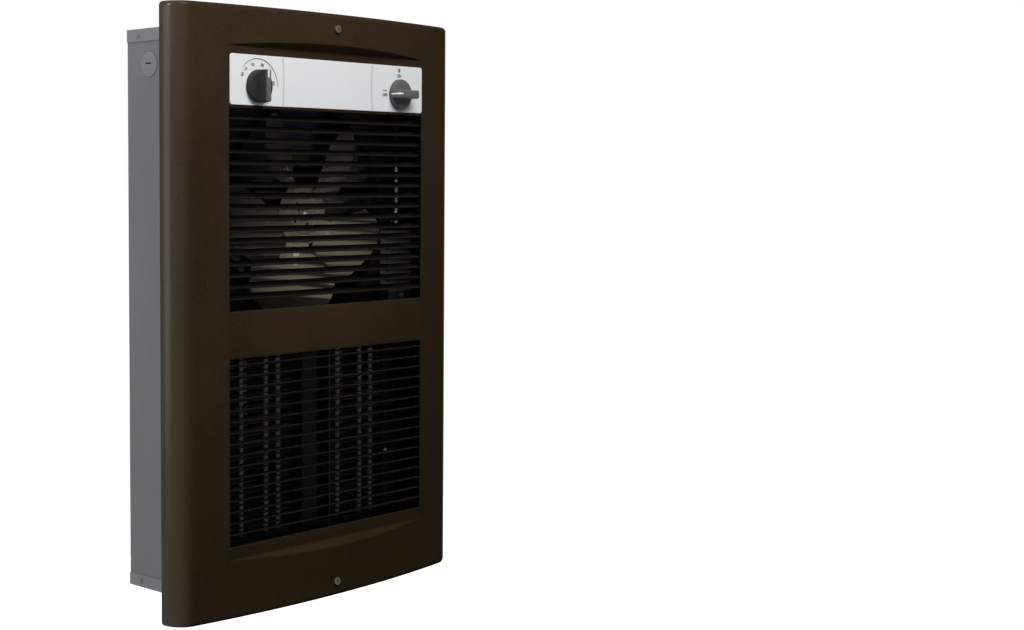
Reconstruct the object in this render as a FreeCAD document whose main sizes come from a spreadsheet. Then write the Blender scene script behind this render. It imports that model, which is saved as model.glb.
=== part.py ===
import FreeCAD, Part
import math
import os
import re

import Sketcher

# A recessed, fan-forced electric wall heater, in millimetres. X runs to the right as one faces the wall,
# +Y goes into the wall and +Z is up. The origin is the centre of the can's back face.

SIZES = {
    # Clearances that many pieces share
    "running_fit": 0.05,
    "ease": 0.3,
    "overrun": 2,
    # Can: a wrapper of two sides and a back, closed by two flanged caps
    "can_width": 365,
    "can_height": 606,
    "can_depth": 98,
    "can_sheet": 1,
    "cap_flange": 12.6,
    "ear_width": 28,
    "ear_margin": 8,
    "knockout_radius": 14.1,
    "knockout_groove": 0.7,
    "knockout_groove_depth": 0.5,
    "knockout_setback": 36,
    "knockout_drop": 38.5,
    "knockout_slot_length": 10,
    "knockout_slot_width": 1.8,
    "knockout_slot_rise": 0.6,
    "stud_hole_radius": 2.5,
    "stud_hole_setback": 22,
    "stud_hole_spacing": 360,
    "rivet_radius": 1.6,
    "rivet_head_radius": 2.4,
    "rivet_head_height": 0.9,
    "rivet_setback": 20,
    # Cover: a bowed pressing with a flat recess that holds the louvres and the controls
    "cover_side_lap": 36.5,
    "cover_end_lap": 21,
    "cover_edge": 24,
    "cover_bow": 18,
    "cover_sheet": 1,
    "cover_roll": 27,
    "cover_rounding": 5,
    "recess_depth": 8.86,
    "recess_flare_share": 0.85,
    "recess_top_margin": 42.5,
    "recess_low_margin": 64,
    "opening_side_lip": 1.5,
    "panel_end_share": 0.8,
    "opening_low_gap": 13.4,
    "mullion": 50.4,
    "upper_grille_share": 0.5173,
    "cover_screw_margin": 17,
    "cover_screw_radius": 2.1,
    "cover_screw_head_radius": 4.2,
    "cover_screw_head_height": 2.4,
    "cross_slot_width": 1,
    "cross_slot_share": 0.6,
    # Louvre panels
    "panel_sheet": 1.2,
    "panel_lip": 7,
    "louvre_depth": 11.5,
    "louvre_thickness": 2.2,
    "upper_louvre_tilt": 12,
    "lower_louvre_tilt": 9,
    "rib_width": 2,
    "rib_depth": 3,
    "rib_setback": 1,
    # Control plate, knobs and what they turn
    "plate_top_gap": 8.8,
    "plate_height": 53,
    "plate_low_gap": 3.2,
    "plate_side_gap": 0.6,
    "plate_thickness": 0.8,
    "plate_corner": 3,
    "knob_inset": 39.8,
    "knob_rise": 20.3,
    "knob_radius": 17.5,
    "knob_draft": 0.6,
    "knob_skirt": 5,
    "knob_height": 16,
    "knob_gap": 0.6,
    "knob_bore_depth": 12,
    "knob_bar_width": 9,
    "knob_bar_rounding": 1.2,
    "shaft_hole_radius": 6,
    "shaft_radius": 3,
    "shaft_depth": 10,
    "bushing_radius": 4.8,
    "bushing_length": 7,
    "nut_thickness": 3,
    "nut_radius": 8,
    "control_bracket_gap": 6.5,
    "control_bracket_overhang": 24,
    "control_bracket_height": 30,
    "bracket_sheet": 1.2,
    "bracket_foot": 13,
    "thermostat_width": 40,
    "thermostat_height": 38,
    "control_depth": 24,
    "selector_width": 32,
    "selector_height": 30,
    "bulb_radius": 2.5,
    "bulb_length": 72,
    "bulb_inset": 7.6,
    "bulb_gap": 2,
    "clip_width": 9,
    "clip_height": 5,
    "clip_wall": 1.2,
    "clip_inset": 12,
    "capillary_radius": 0.8,
    "capillary_rise": 30,
    "capillary_bend": 8,
    # Fan deck and the baffle under it
    "deck_setback": 14,
    "deck_sheet": 1,
    "deck_flange": 10,
    "deck_top_gap": 2,
    "orifice_gap": 4,
    "orifice_lip": 8,
    "baffle_gap": 5.5,
    "baffle_flange": 12,
    "screw_radius": 1.7,
    "screw_head_radius": 3.2,
    "screw_head_height": 1.8,
    "screw_tip": 2,
    "deck_screw_inset": 24,
    # Fan
    "fan_drop": 6.75,
    "fan_radius": 119,
    "fan_setback": 12,
    "blade_count": 5,
    "blade_first_angle": -29,
    "blade_pitch": 32,
    "blade_chord": 98,
    "blade_root_width": 34,
    "blade_root": 40,
    "blade_shoulder": 66,
    "blade_tip_rounding": 40,
    "blade_sheet": 1.2,
    "hub_radius": 36,
    "hub_sheet": 1.5,
    "hub_ring_radius": 29,
    "hub_ring_width": 4,
    "hub_ring_height": 1.5,
    "hub_boss_radius": 9,
    "hub_boss_length": 18,
    "arm_width": 26,
    "arm_root": 22,
    "arm_reach": 62,
    "fan_rivet_radius": 1.6,
    "fan_rivet_head_radius": 3.2,
    "fan_rivet_head_height": 1,
    "fan_rivet_inset": 6,
    # Motor
    "web_setback": 31,
    "motor_bracket_height": 40,
    "motor_bracket_clear": 25,
    "motor_shaft_radius": 3,
    "motor_shaft_nose": 4,
    "bearing_bar": 5.5,
    "bearing_post": 6,
    "bearing_post_radius": 5,
    "bearing_boss_radius": 8,
    "bearing_boss_length": 9,
    "bearing_height": 18,
    "motor_bolt_spacing": 48,
    "motor_bolt_radius": 2,
    "stator_width": 64,
    "stator_top": 26,
    "stator_low": 56,
    "stator_length": 24,
    "stator_leg": 12,
    "rotor_radius": 17.6,
    "rotor_gap": 0.6,
    "coil_width": 28,
    "coil_wall": 8,
    # Heating elements and their frame
    "frame_sheet": 1,
    "frame_setback": 1,
    "frame_flange": 18,
    "frame_low_lap": 26,
    "frame_shelf": 45,
    "frame_post": 24,
    "window_gap": 0.6,
    "window_top_lap": 4.6,
    "window_low_lap": 1.4,
    "element_inset": 28.5,
    "element_width": 95,
    "fin_count": 31,
    "fin_sheet": 0.5,
    "fin_depth": 34,
    "fin_top_gap": 7.6,
    "fin_low_gap": 1.6,
    "shelf_gap": 5,
    "tube_radius": 4,
    "leg_inset": 25,
    "leg_pitch": 18.7,
    "leg_front_setback": 10,
    "leg_rear_setback": 24,
    "pin_radius": 2.2,
    "pin_length": 14,
    "element_bushing_radius": 7,
    "element_bushing_height": 6,
    "limit_radius": 8,
    "limit_depth": 12,
    "limit_tab": 14,
    "limit_drop": 131.6,
    "limit_screw_inset": 3.2,
    "limit_screw_head_radius": 2.4,
    "limit_reach": 13,
    # Supply wiring
    "wiring_width": 43,
    "wiring_height": 85,
    "wiring_fan_gap": 0.5,
    "wiring_side_gap": 4.5,
    "wiring_sheet": 0.8,
    "wiring_screw_inset": 7,
    "terminal_width": 28,
    "terminal_height": 48,
    "terminal_depth": 10,
    "terminal_screw_radius": 1.4,
    "terminal_screw_length": 5,
    "terminal_screw_head_radius": 2.6,
    "terminal_screw_head_height": 1.2,
    "ground_inset": 10,
}

doc = FreeCAD.newDocument("wall_heater")
sheet = doc.addObject("Spreadsheet::Sheet", "Sizes")
for row, (size_name, size_value) in enumerate(SIZES.items(), start=1):
    sheet.set(f"A{row}", size_name)
    sheet.set(f"B{row}", str(size_value))
    sheet.setAlias(f"B{row}", size_name)
doc.recompute()

# Planes and levels that several pieces share, as expressions on the sheet
CAP_OUT = "(can_width / 2)"
SIDE_OUT = "(can_width / 2 - can_sheet)"
SIDE_IN = "(can_width / 2 - 2 * can_sheet)"
CAN_TOP = "(can_height / 2)"
LID = "(can_height / 2 - can_sheet)"
WALL = "(-can_depth)"
COVER_X = "(can_width / 2 + cover_side_lap)"
COVER_Z = "(can_height / 2 + cover_end_lap)"
CREST = f"({WALL} - cover_edge - cover_bow)"
BOW_RADIUS = f"(({COVER_X} ^ 2 + cover_bow ^ 2) / (2 * cover_bow))"
FLAT = f"({CREST} + recess_depth)"
FLAT_BACK = f"({FLAT} + cover_sheet)"
FLAT_X = f"sqrt(2 * {BOW_RADIUS} * recess_depth - recess_depth ^ 2)"
OPEN_X = f"({FLAT_X} - opening_side_lip)"
SCREW_Z = f"({COVER_Z} - cover_screw_margin)"
RECESS_TOP = f"({COVER_Z} - recess_top_margin)"
RECESS_LOW = f"(recess_low_margin - {COVER_Z})"
PLATE_TOP = f"({RECESS_TOP} - plate_top_gap)"
PLATE_LOW = f"({PLATE_TOP} - plate_height)"
UPPER_TOP = f"({PLATE_LOW} - plate_low_gap)"
LOWER_LOW = f"({RECESS_LOW} + opening_low_gap)"
GRILLES = f"({UPPER_TOP} - {LOWER_LOW} - mullion)"
UPPER_LOW = f"({UPPER_TOP} - {GRILLES} * upper_grille_share)"
LOWER_TOP = f"({UPPER_LOW} - mullion)"
KNOB_X = f"({OPEN_X} - plate_side_gap - knob_inset)"
KNOB_Z = f"({PLATE_LOW} + knob_rise)"
KNOB_BACK = f"({FLAT} - plate_thickness - knob_gap)"
BRACKET = f"({FLAT_BACK} + control_bracket_gap)"
BRACKET_BACK = f"({BRACKET} + bracket_sheet)"
BRACKET_X = f"({KNOB_X} + control_bracket_overhang)"
DECK = f"({WALL} + deck_setback)"
DECK_BACK = f"({DECK} + deck_sheet)"
DECK_LOW = f"({UPPER_LOW} - mullion / 2)"
DECK_TOP = f"({LID} - deck_top_gap)"
FAN_Z = f"(({UPPER_TOP} + {UPPER_LOW}) / 2 - fan_drop)"
HUB = f"({WALL} + fan_setback)"
ORIFICE = "(fan_radius + orifice_gap)"
WEB = f"({DECK} + web_setback)"
WEB_BACK = f"({WEB} + bracket_sheet)"
MOTOR_FOOT_X = f"({ORIFICE} + motor_bracket_clear)"
STATOR = f"({WEB_BACK} + bearing_bar + bearing_post)"
STATOR_BACK = f"({STATOR} + stator_length)"
MOTOR_END = f"({STATOR_BACK} + bearing_post + bearing_bar)"
FRAME = f"({WALL} + frame_setback)"
FRAME_BACK = f"({FRAME} + frame_sheet)"
FRAME_TOP = f"({DECK_LOW} - deck_sheet)"
FRAME_LOW = f"({LOWER_LOW} - frame_low_lap)"
FIN_TOP = f"({LOWER_TOP} - fin_top_gap)"
FIN_LOW = f"({LOWER_LOW} + fin_low_gap)"
SHELF_TOP = f"({FIN_TOP} + shelf_gap)"
SHELF_LOW = f"({FIN_LOW} - shelf_gap)"
ELEMENT_OUT = "(element_inset + element_width)"
WINDOW_X = f"({ELEMENT_OUT} + window_gap)"
LIMIT_X = f"({WINDOW_X} + limit_screw_inset)"
LIMIT_Z = f"({LOWER_TOP} - limit_drop)"
WIRING_OUT = f"({SIDE_IN} - wiring_side_gap)"
WIRING_IN = f"({WIRING_OUT} - wiring_width)"
WIRING_X = f"(({WIRING_OUT} + {WIRING_IN}) / 2)"
WIRING_TOP = f"({FAN_Z} - motor_bracket_height / 2 - wiring_fan_gap)"
WIRING_LOW = f"({WIRING_TOP} - wiring_height)"
WIRING_Z = f"(({WIRING_TOP} + {WIRING_LOW}) / 2)"
BULB_X = f"({OPEN_X} - bulb_inset)"
BULB_LOW = f"({WIRING_TOP} + bulb_gap)"
BULB_TOP = f"({BULB_LOW} + bulb_length)"

WORD = re.compile(r"[a-z][a-z0-9_]*")
AXES = {
    "x": FreeCAD.Rotation(FreeCAD.Vector(0, 1, 0), 90),
    "y": FreeCAD.Rotation(FreeCAD.Vector(1, 0, 0), -90),
    "z": FreeCAD.Rotation(),
}
SIDES = (-1, 1)
nodes = []


def bind(item, prop, text):
    """Binds a property to an expression whose plain words are sizes on the sheet."""
    named = WORD.sub(lambda word: f"Sizes.{word[0]}" if word[0] in SIZES else word[0], str(text))
    item.setExpression(prop, named)


def place(item, x=0, y=0, z=0, turn=None):
    """Turns an item, then binds its place."""
    if turn is not None:
        item.Placement = FreeCAD.Placement(FreeCAD.Vector(), turn)
    for letter, text in zip("xyz", (x, y, z)):
        bind(item, f"Placement.Base.{letter}", text)
    return item


def node(name, item):
    """Keeps an item as one of the heater's pieces."""
    item.Label = name
    nodes.append(item)
    return item


def block(name, x, y, z):
    """A box between two levels along each axis, given in either order."""
    item = doc.addObject("Part::Box", name)
    for prop, letter, (one, other) in zip(("Length", "Width", "Height"), "xyz", (x, y, z)):
        bind(item, prop, f"abs(({one}) - ({other}))")
        bind(item, f"Placement.Base.{letter}", f"min({one}; {other})")
    return item


def rod(name, axis, radius, ends, x=0, y=0, z=0):
    """A round bar along an axis between two levels, given in either order."""
    item = doc.addObject("Part::Cylinder", name)
    bind(item, "Radius", radius)
    bind(item, "Height", f"abs(({ends[0]}) - ({ends[1]}))")
    middle = {"x": x, "y": y, "z": z}
    middle[axis] = f"min({ends[0]}; {ends[1]})"
    return place(item, turn=AXES[axis], **middle)


def fuse(name, *items):
    item = doc.addObject("Part::MultiFuse", name)
    item.Shapes = list(items)
    item.Refine = True
    return item


def group(name, *items):
    """Separate solids that are handled as one piece."""
    item = doc.addObject("Part::Compound", name)
    item.Links = list(items)
    return item


def cut(name, base, *tools):
    item = doc.addObject("Part::Cut", name)
    item.Base = base
    item.Tool = tools[0] if len(tools) == 1 else group(f"{name}_tools", *tools)
    return item


def common(name, base, tool):
    item = doc.addObject("Part::Common", name)
    item.Base = base
    item.Tool = tool
    return item


def fillet(name, base, radius, chosen):
    """Rounds the edges of a solid that a test on the edge chooses."""
    doc.recompute()
    item = doc.addObject("Part::Fillet", name)
    item.Base = base
    item.Edges = [(i, radius, radius) for i, edge in enumerate(base.Shape.Edges, start=1) if chosen(edge)]
    return item


def sketch(body, name, plane):
    item = body.newObject("Sketcher::SketchObject", name)
    item.AttachmentSupport = [(next(f for f in body.Origin.OriginFeatures if f.Role == f"{plane}_Plane"), "")]
    item.MapMode = "FlatFace"
    return item


def pin_point(item, line, end, point):
    for kind, text in zip(("DistanceX", "DistanceY"), point):
        index = item.addConstraint(Sketcher.Constraint(kind, -1, 1, line, end, 1.0))
        bind(item, f"Constraints[{index}]", text)


def outline(item, points):
    """Draws a closed run of straight lines through points given as pairs of expressions."""
    first = item.GeometryCount
    turns = [2 * math.pi * k / len(points) for k in range(len(points))]
    corners = [FreeCAD.Vector(math.cos(turn), math.sin(turn), 0) for turn in turns]
    for k in range(len(points)):
        item.addGeometry(Part.LineSegment(corners[k - 1], corners[k]), False)
    for k in range(len(points)):
        before = first + (k - 1) % len(points)
        item.addConstraint(Sketcher.Constraint("Coincident", before, 2, first + k, 1))
    for k, point in enumerate(points):
        pin_point(item, first + k, 2, point)


def circle(item, radius, x, y):
    line = item.addGeometry(Part.Circle(FreeCAD.Vector(), FreeCAD.Vector(0, 0, 1), 1), False)
    index = item.addConstraint(Sketcher.Constraint("Radius", line, 1.0))
    bind(item, f"Constraints[{index}]", radius)
    pin_point(item, line, 3, (x, y))


def padded(name, plane, length, points, holes=(), back=False):
    """A body that pads a straight-sided outline, with round holes given as radius, x and y."""
    body = doc.addObject("PartDesign::Body", name)
    lines = sketch(body, f"{name}_outline", plane)
    outline(lines, points)
    for hole in holes:
        circle(lines, *hole)
    pad = body.newObject("PartDesign::Pad", f"{name}_pad")
    pad.Profile = lines
    pad.Reversed = back
    bind(pad, "Length", length)
    return body


def rounded(body, radius, chosen):
    """Adds a fillet to a body on the edges that a test chooses."""
    doc.recompute()
    tip = body.Tip
    item = body.newObject("PartDesign::Fillet", f"{body.Name}_fillet")
    item.Base = (tip, [f"Edge{i}" for i, edge in enumerate(tip.Shape.Edges, start=1) if chosen(edge)])
    bind(item, "Radius", radius)
    return body


def screw(name, x, y, z, length, shank="screw_radius", head="screw_head_radius", rise="screw_head_height"):
    """A pan-head screw whose head sits at y and faces the room, with a cross slot."""
    cap = rod(f"{name}_head", "y", head, (f"{y} - {rise}", y), x=x, z=z)
    stem = rod(f"{name}_shank", "y", shank, (y, f"{y} + {length}"), x=x, z=z)
    half, arm = "cross_slot_width / 2", f"{head} * cross_slot_share"
    slot = (f"{y} - {rise} - overrun", f"{y} - {rise} / 2")
    slots = []
    for across, up in ((arm, half), (half, arm)):
        wide, tall = (f"{x} - {across}", f"{x} + {across}"), (f"{z} - {up}", f"{z} + {up}")
        slots.append(block(f"{name}_slot", wide, slot, tall))
    return cut(name, fuse(f"{name}_turned", cap, stem), *slots)


def along_y(edge):
    box = edge.BoundBox
    return box.YLength > max(box.XLength, box.ZLength)


def side_hole(name, side, radius, y, z):
    """A hole right through one side of the can."""
    ends = (f"{side} * ({SIDE_IN} - overrun)", f"{side} * ({CAP_OUT} + overrun)")
    return rod(name, "x", radius, ends, y=y, z=z)


def side_screw(name, side, y, z, flange):
    """A screw from inside the can through a flange into the can's side."""
    seat = f"{side} * ({SIDE_IN} - {flange})"
    face = f"{seat} - {side} * screw_head_height"
    head = rod(f"{name}_head", "x", "screw_head_radius", (seat, face), y=y, z=z)
    shank = rod(f"{name}_shank", "x", "screw_radius", (seat, f"{side} * {SIDE_OUT}"), y=y, z=z)
    return fuse(name, head, shank)


UPPER_BARS = 17
LOWER_BARS = 16
RIVETS = [
    (side, f"{end} * ({LID} - cap_flange / 2)", y)
    for side in SIDES
    for end in SIDES
    for y in ("-rivet_setback", f"{WALL} + rivet_setback")
]
DECK_SCREWS = [
    (side, f"{DECK} - deck_flange / 2", z)
    for side in SIDES
    for z in (f"{DECK_LOW} + deck_screw_inset", f"{DECK_TOP} - deck_screw_inset")
]
FRAME_SCREWS = [
    (side, f"{FRAME} + frame_flange / 2", z)
    for side in SIDES
    for z in (f"{FRAME_LOW} + deck_screw_inset", f"{FRAME_TOP} - deck_screw_inset")
]
CONTROL_FEET = [(f"({side} * ({BRACKET_X} + bracket_foot / 2))", KNOB_Z) for side in SIDES]
MOTOR_FEET = [
    (f"({side} * ({MOTOR_FOOT_X} + bracket_foot / 2))", f"({FAN_Z} + {end} * motor_bracket_height / 4)")
    for side in SIDES
    for end in SIDES
]
WIRING_SCREWS = [
    (WIRING_X, f"({WIRING_LOW} + wiring_screw_inset)"),
    (WIRING_X, f"({WIRING_TOP} - wiring_screw_inset)"),
]
GROUND_SCREW = (f"({WIRING_IN} + ground_inset)", f"({WIRING_TOP} - ground_inset)")
TERMINALS = [
    (f"({WIRING_X} + {side} * terminal_width / 4)", f"({WIRING_Z} + {end} * terminal_height / 4)")
    for side in SIDES
    for end in SIDES
]
SCREW_HOLE = "screw_radius + running_fit"
SHAFT_HOLE = "shaft_radius + running_fit"
MOTOR_BORE = "motor_shaft_radius + running_fit"


def can_wrapper():
    shell = padded("wrapper_shell", "XY", f"2 * {LID}", [
        (f"-{SIDE_OUT}", WALL),
        (f"-{SIDE_OUT}", 0),
        (SIDE_OUT, 0),
        (SIDE_OUT, WALL),
        (SIDE_IN, WALL),
        (SIDE_IN, "-can_sheet"),
        (f"-{SIDE_IN}", "-can_sheet"),
        (f"-{SIDE_IN}", WALL),
    ])
    place(shell, z=f"-{LID}")
    y, z = "-knockout_setback", f"{CAN_TOP} - knockout_drop"
    skin = (f"-{SIDE_OUT} - overrun", f"-{SIDE_OUT} + knockout_groove_depth")
    rim = rod("knockout_rim", "x", "knockout_radius", skin, y=y, z=z)
    disc = rod("knockout_disc", "x", "knockout_radius - knockout_groove", skin, y=y, z=z)
    half, slot = "knockout_slot_length / 2", f"{z} + knockout_slot_rise"
    pry = block(
        "knockout_slot",
        (f"-{SIDE_OUT} - overrun", f"overrun - {SIDE_IN}"),
        (f"{y} - {half}", f"{y} + {half}"),
        (slot, f"{slot} + knockout_slot_width"),
    )
    holes = [side_hole("supply_hole", 1, "knockout_radius", y, z)]
    for side in SIDES:
        for end in SIDES:
            spot = f"{WALL} + stud_hole_setback", f"{end} * stud_hole_spacing / 2"
            holes.append(side_hole("stud_hole", side, "stud_hole_radius", *spot))
    for side, z, y in RIVETS:
        holes.append(side_hole("wrapper_rivet_hole", side, "rivet_radius + running_fit", y, z))
    for side, y, z in DECK_SCREWS + FRAME_SCREWS:
        holes.append(side_hole("wrapper_screw_hole", side, SCREW_HOLE, y, z))
    node("can_wrapper", cut("can_wrapper", shell, cut("knockout_ring", rim, disc), pry, *holes))


def can_cap(name, end):
    edge, lid, top = (f"{end} * {level}" for level in (f"({LID} - cap_flange)", LID, CAN_TOP))
    shell = padded(f"{name}_shell", "XZ", "can_depth", [
        (f"-{CAP_OUT}", edge),
        (f"-{CAP_OUT}", top),
        (CAP_OUT, top),
        (CAP_OUT, edge),
        (SIDE_OUT, edge),
        (SIDE_OUT, lid),
        (f"-{SIDE_OUT}", lid),
        (f"-{SIDE_OUT}", edge),
    ])
    front, tall = (f"{WALL} - can_sheet", WALL), (lid, f"{end} * ({SCREW_Z} + ear_margin)")
    ear = block(f"{name}_ear", ("-ear_width / 2", "ear_width / 2"), front, tall)
    through = (f"{WALL} - can_sheet - overrun", f"{WALL} + overrun")
    thread = "cover_screw_radius + running_fit"
    holes = [rod(f"{name}_ear_hole", "y", thread, through, z=f"{end} * {SCREW_Z}")]
    for side, z, y in RIVETS:
        holes.append(side_hole(f"{name}_rivet_hole", side, "rivet_radius + running_fit", y, z))
    node(name, cut(name, fuse(f"{name}_folded", shell, ear), *holes))


def cap_rivets():
    made = []
    for side, z, y in RIVETS:
        seat = f"{side} * {CAP_OUT}"
        face = f"{seat} + {side} * rivet_head_height"
        head = rod("rivet_head", "x", "rivet_head_radius", (seat, face), y=y, z=z)
        shank = rod("rivet_shank", "x", "rivet_radius", (f"{side} * {SIDE_IN}", seat), y=y, z=z)
        made.append(fuse("rivet", head, shank))
    node("cap_rivets", group("cap_rivets", *made))


def bow(name, inset, back):
    """The cover's outer form with rolled sides, or its inside when it is drawn in by the sheet."""
    x, z = f"({COVER_X} - {inset})", f"({COVER_Z} - {inset})"
    stock = block(f"{name}_stock", (f"-{x}", x), (f"{CREST} - overrun", back), (f"-{z}", z))
    ends = (f"-{COVER_Z} - overrun", f"{COVER_Z} + overrun")
    arch = rod(f"{name}_arch", "z", f"{BOW_RADIUS} - {inset}", ends, y=f"{CREST} + {BOW_RADIUS}")
    form = common(f"{name}_form", stock, arch)
    doc.recompute()
    rim = form.Shape.BoundBox.YMax - sheet.ease
    drawn_in = sheet.cover_sheet if inset == "cover_sheet" else 0
    rolled = fillet(
        f"{name}_rolled", form, sheet.cover_roll - drawn_in,
        lambda edge: edge.BoundBox.YMin < rim and edge.BoundBox.ZLength > sheet.cover_roll,
    )
    return fillet(
        name, rolled, sheet.cover_rounding - drawn_in,
        lambda edge: edge.BoundBox.YMin < rim and edge.BoundBox.ZLength < sheet.ease,
    )


def recess(name, inset):
    """The flat pressed into the bow, with its slanted upper and lower walls."""
    plane = f"({FLAT} + {inset})"
    lip = f"({inset} * (sqrt(1 + recess_flare_share ^ 2) - recess_flare_share))"
    reach = "(recess_depth + overrun)"
    top, low = f"({RECESS_TOP} + {lip})", f"({RECESS_LOW} - {lip})"
    item = padded(name, "YZ", f"2 * {COVER_X}", [
        (plane, low),
        (plane, top),
        (f"{plane} - {reach}", f"{top} + {reach} * recess_flare_share"),
        (f"{plane} - {reach}", f"{low} - {reach} * recess_flare_share"),
    ])
    return place(item, x=f"-{COVER_X}")


def front_cover():
    pressed = cut("cover_pressed", bow("cover_form", "0", WALL), recess("cover_recess", "0"))
    inside = bow("cover_inside", "cover_sheet", f"{WALL} + overrun")
    hollow = cut("cover_hollow", inside, recess("cover_recess_back", "cover_sheet"))
    through = (f"{CREST} - overrun", WALL)
    cuts = [
        block("upper_opening", (f"-{OPEN_X}", OPEN_X), through, (UPPER_LOW, UPPER_TOP)),
        block("lower_opening", (f"-{OPEN_X}", OPEN_X), through, (LOWER_LOW, LOWER_TOP)),
    ]
    for sign in SIDES:
        shaft, screw_hole = f"{sign} * {KNOB_X}", f"{sign} * {SCREW_Z}"
        cuts.append(rod("cover_shaft_hole", "y", "shaft_hole_radius", through, x=shaft, z=KNOB_Z))
        cuts.append(rod("cover_screw_hole", "y", "cover_screw_radius + ease", through, z=screw_hole))
    node("front_cover", cut("front_cover", cut("cover_shell", pressed, hollow), *cuts))


def louvre_panel(name, low, top, bars, tilt, rib):
    """A panel of slanted louvres behind one opening, held by strips above and below it."""
    pieces = []
    skin = (FLAT_BACK, f"{FLAT_BACK} + panel_sheet")
    pieces.append(block(f"{name}_top_strip", (f"-{OPEN_X}", OPEN_X), skin, (top, f"{top} + panel_lip")))
    pieces.append(block(f"{name}_low_strip", (f"-{OPEN_X}", OPEN_X), skin, (low, f"{low} - panel_lip")))
    depth = (FLAT_BACK, f"{FLAT_BACK} + louvre_depth + panel_sheet")
    for side in SIDES:
        ends = (f"{side} * {OPEN_X}", f"{side} * ({OPEN_X} + opening_side_lip * panel_end_share)")
        pieces.append(block(f"{name}_end", ends, depth, (f"{low} - panel_lip", f"{top} + panel_lip")))
    if rib:
        depth = (f"{FLAT_BACK} + rib_setback", f"{FLAT_BACK} + rib_setback + rib_depth")
        pieces.append(block(f"{name}_rib", ("-rib_width / 2", "rib_width / 2"), depth, (low, top)))
    front = f"{FLAT_BACK} + louvre_thickness * abs(sin({tilt}))"
    for k in range(1, bars + 1):
        bar = doc.addObject("Part::Box", f"{name}_louvre")
        bind(bar, "Length", f"2 * {OPEN_X}")
        bind(bar, "Width", "louvre_depth")
        bind(bar, "Height", "louvre_thickness")
        level = f"{low} + ({top} - {low}) * {k} / {bars + 1} - louvre_thickness / 2"
        place(bar, f"-{OPEN_X}", front, level, FreeCAD.Rotation(FreeCAD.Vector(1, 0, 0), 1))
        bind(bar, "Placement.Rotation.Angle", tilt)
        pieces.append(bar)
    node(name, fuse(name, *pieces))


def cover_screws():
    made = []
    for end in SIDES:
        made.append(screw(
            "cover_screw", "0", CREST, f"({end} * {SCREW_Z})", "(cover_edge + cover_bow + screw_tip)",
            "cover_screw_radius", "cover_screw_head_radius", "cover_screw_head_height",
        ))
    node("cover_screws", group("cover_screws", *made))


def control_plate():
    x = f"({OPEN_X} - plate_side_gap)"
    corners = [(f"-{x}", PLATE_LOW), (x, PLATE_LOW), (x, PLATE_TOP), (f"-{x}", PLATE_TOP)]
    holes = [("shaft_hole_radius", f"{side} * {KNOB_X}", KNOB_Z) for side in SIDES]
    plate = padded("control_plate", "XZ", "plate_thickness", corners, holes)
    doc.recompute()
    end = plate.Shape.BoundBox.XMax - sheet.ease
    rounded(plate, "plate_corner", lambda edge: along_y(edge) and abs(edge.BoundBox.Center.x) > end)
    node("control_plate", place(plate, y=FLAT))


def knob(name, x, upright):
    """A round knob with a bar across its face."""
    skirt = doc.addObject("Part::Cone", f"{name}_skirt")
    bind(skirt, "Radius1", "knob_radius")
    bind(skirt, "Radius2", "knob_radius - knob_draft")
    bind(skirt, "Height", "knob_skirt")
    place(skirt, x, KNOB_BACK, KNOB_Z, FreeCAD.Rotation(FreeCAD.Vector(1, 0, 0), 90))
    tall = ("-knob_radius", "knob_radius")
    thin = ("-knob_bar_width / 2", "knob_bar_width / 2")
    across, up = (thin, tall) if upright else (tall, thin)
    depth = (f"{KNOB_BACK} - knob_height", f"{KNOB_BACK} - knob_skirt / 2")
    stock = block(f"{name}_bar_stock", [f"{x} + {a}" for a in across], depth, [f"{KNOB_Z} + {a}" for a in up])
    turned = rod(f"{name}_bar_round", "y", "knob_radius - knob_draft", depth, x=x, z=KNOB_Z)
    bar = common(f"{name}_bar", stock, turned)
    doc.recompute()
    face = bar.Shape.BoundBox.YMin + sheet.ease
    soft = fillet(f"{name}_bar_soft", bar, sheet.knob_bar_rounding, lambda edge: edge.BoundBox.YMax < face)
    drilled = (f"{KNOB_BACK} + overrun", f"{KNOB_BACK} - knob_bore_depth")
    bore = rod(f"{name}_bore", "y", SHAFT_HOLE, drilled, x=x, z=KNOB_Z)
    node(name, cut(name, fuse(f"{name}_solid", skirt, soft), bore))


def control_shaft(name, x):
    ends = (f"{KNOB_BACK} - knob_bore_depth + ease", f"{BRACKET_BACK} + shaft_depth - ease")
    node(name, rod(name, "y", "shaft_radius", ends, x=x, z=KNOB_Z))


def control_body(name, x, width, height):
    """A control behind the bracket, with the bushing that its shaft turns in."""
    wide = (f"{x} - {width} / 2", f"{x} + {width} / 2")
    tall = (f"{KNOB_Z} - {height} / 2", f"{KNOB_Z} + {height} / 2")
    case = block(f"{name}_case", wide, (BRACKET_BACK, f"{BRACKET_BACK} + control_depth"), tall)
    neck = (f"{BRACKET} - bushing_length", BRACKET_BACK)
    bushing = rod(f"{name}_bushing", "y", "bushing_radius", neck, x=x, z=KNOB_Z)
    drilled = (f"{BRACKET} - bushing_length - overrun", f"{BRACKET_BACK} + shaft_depth")
    bore = rod(f"{name}_bore", "y", SHAFT_HOLE, drilled, x=x, z=KNOB_Z)
    node(name, cut(name, fuse(f"{name}_solid", case, bushing), bore))


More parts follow.
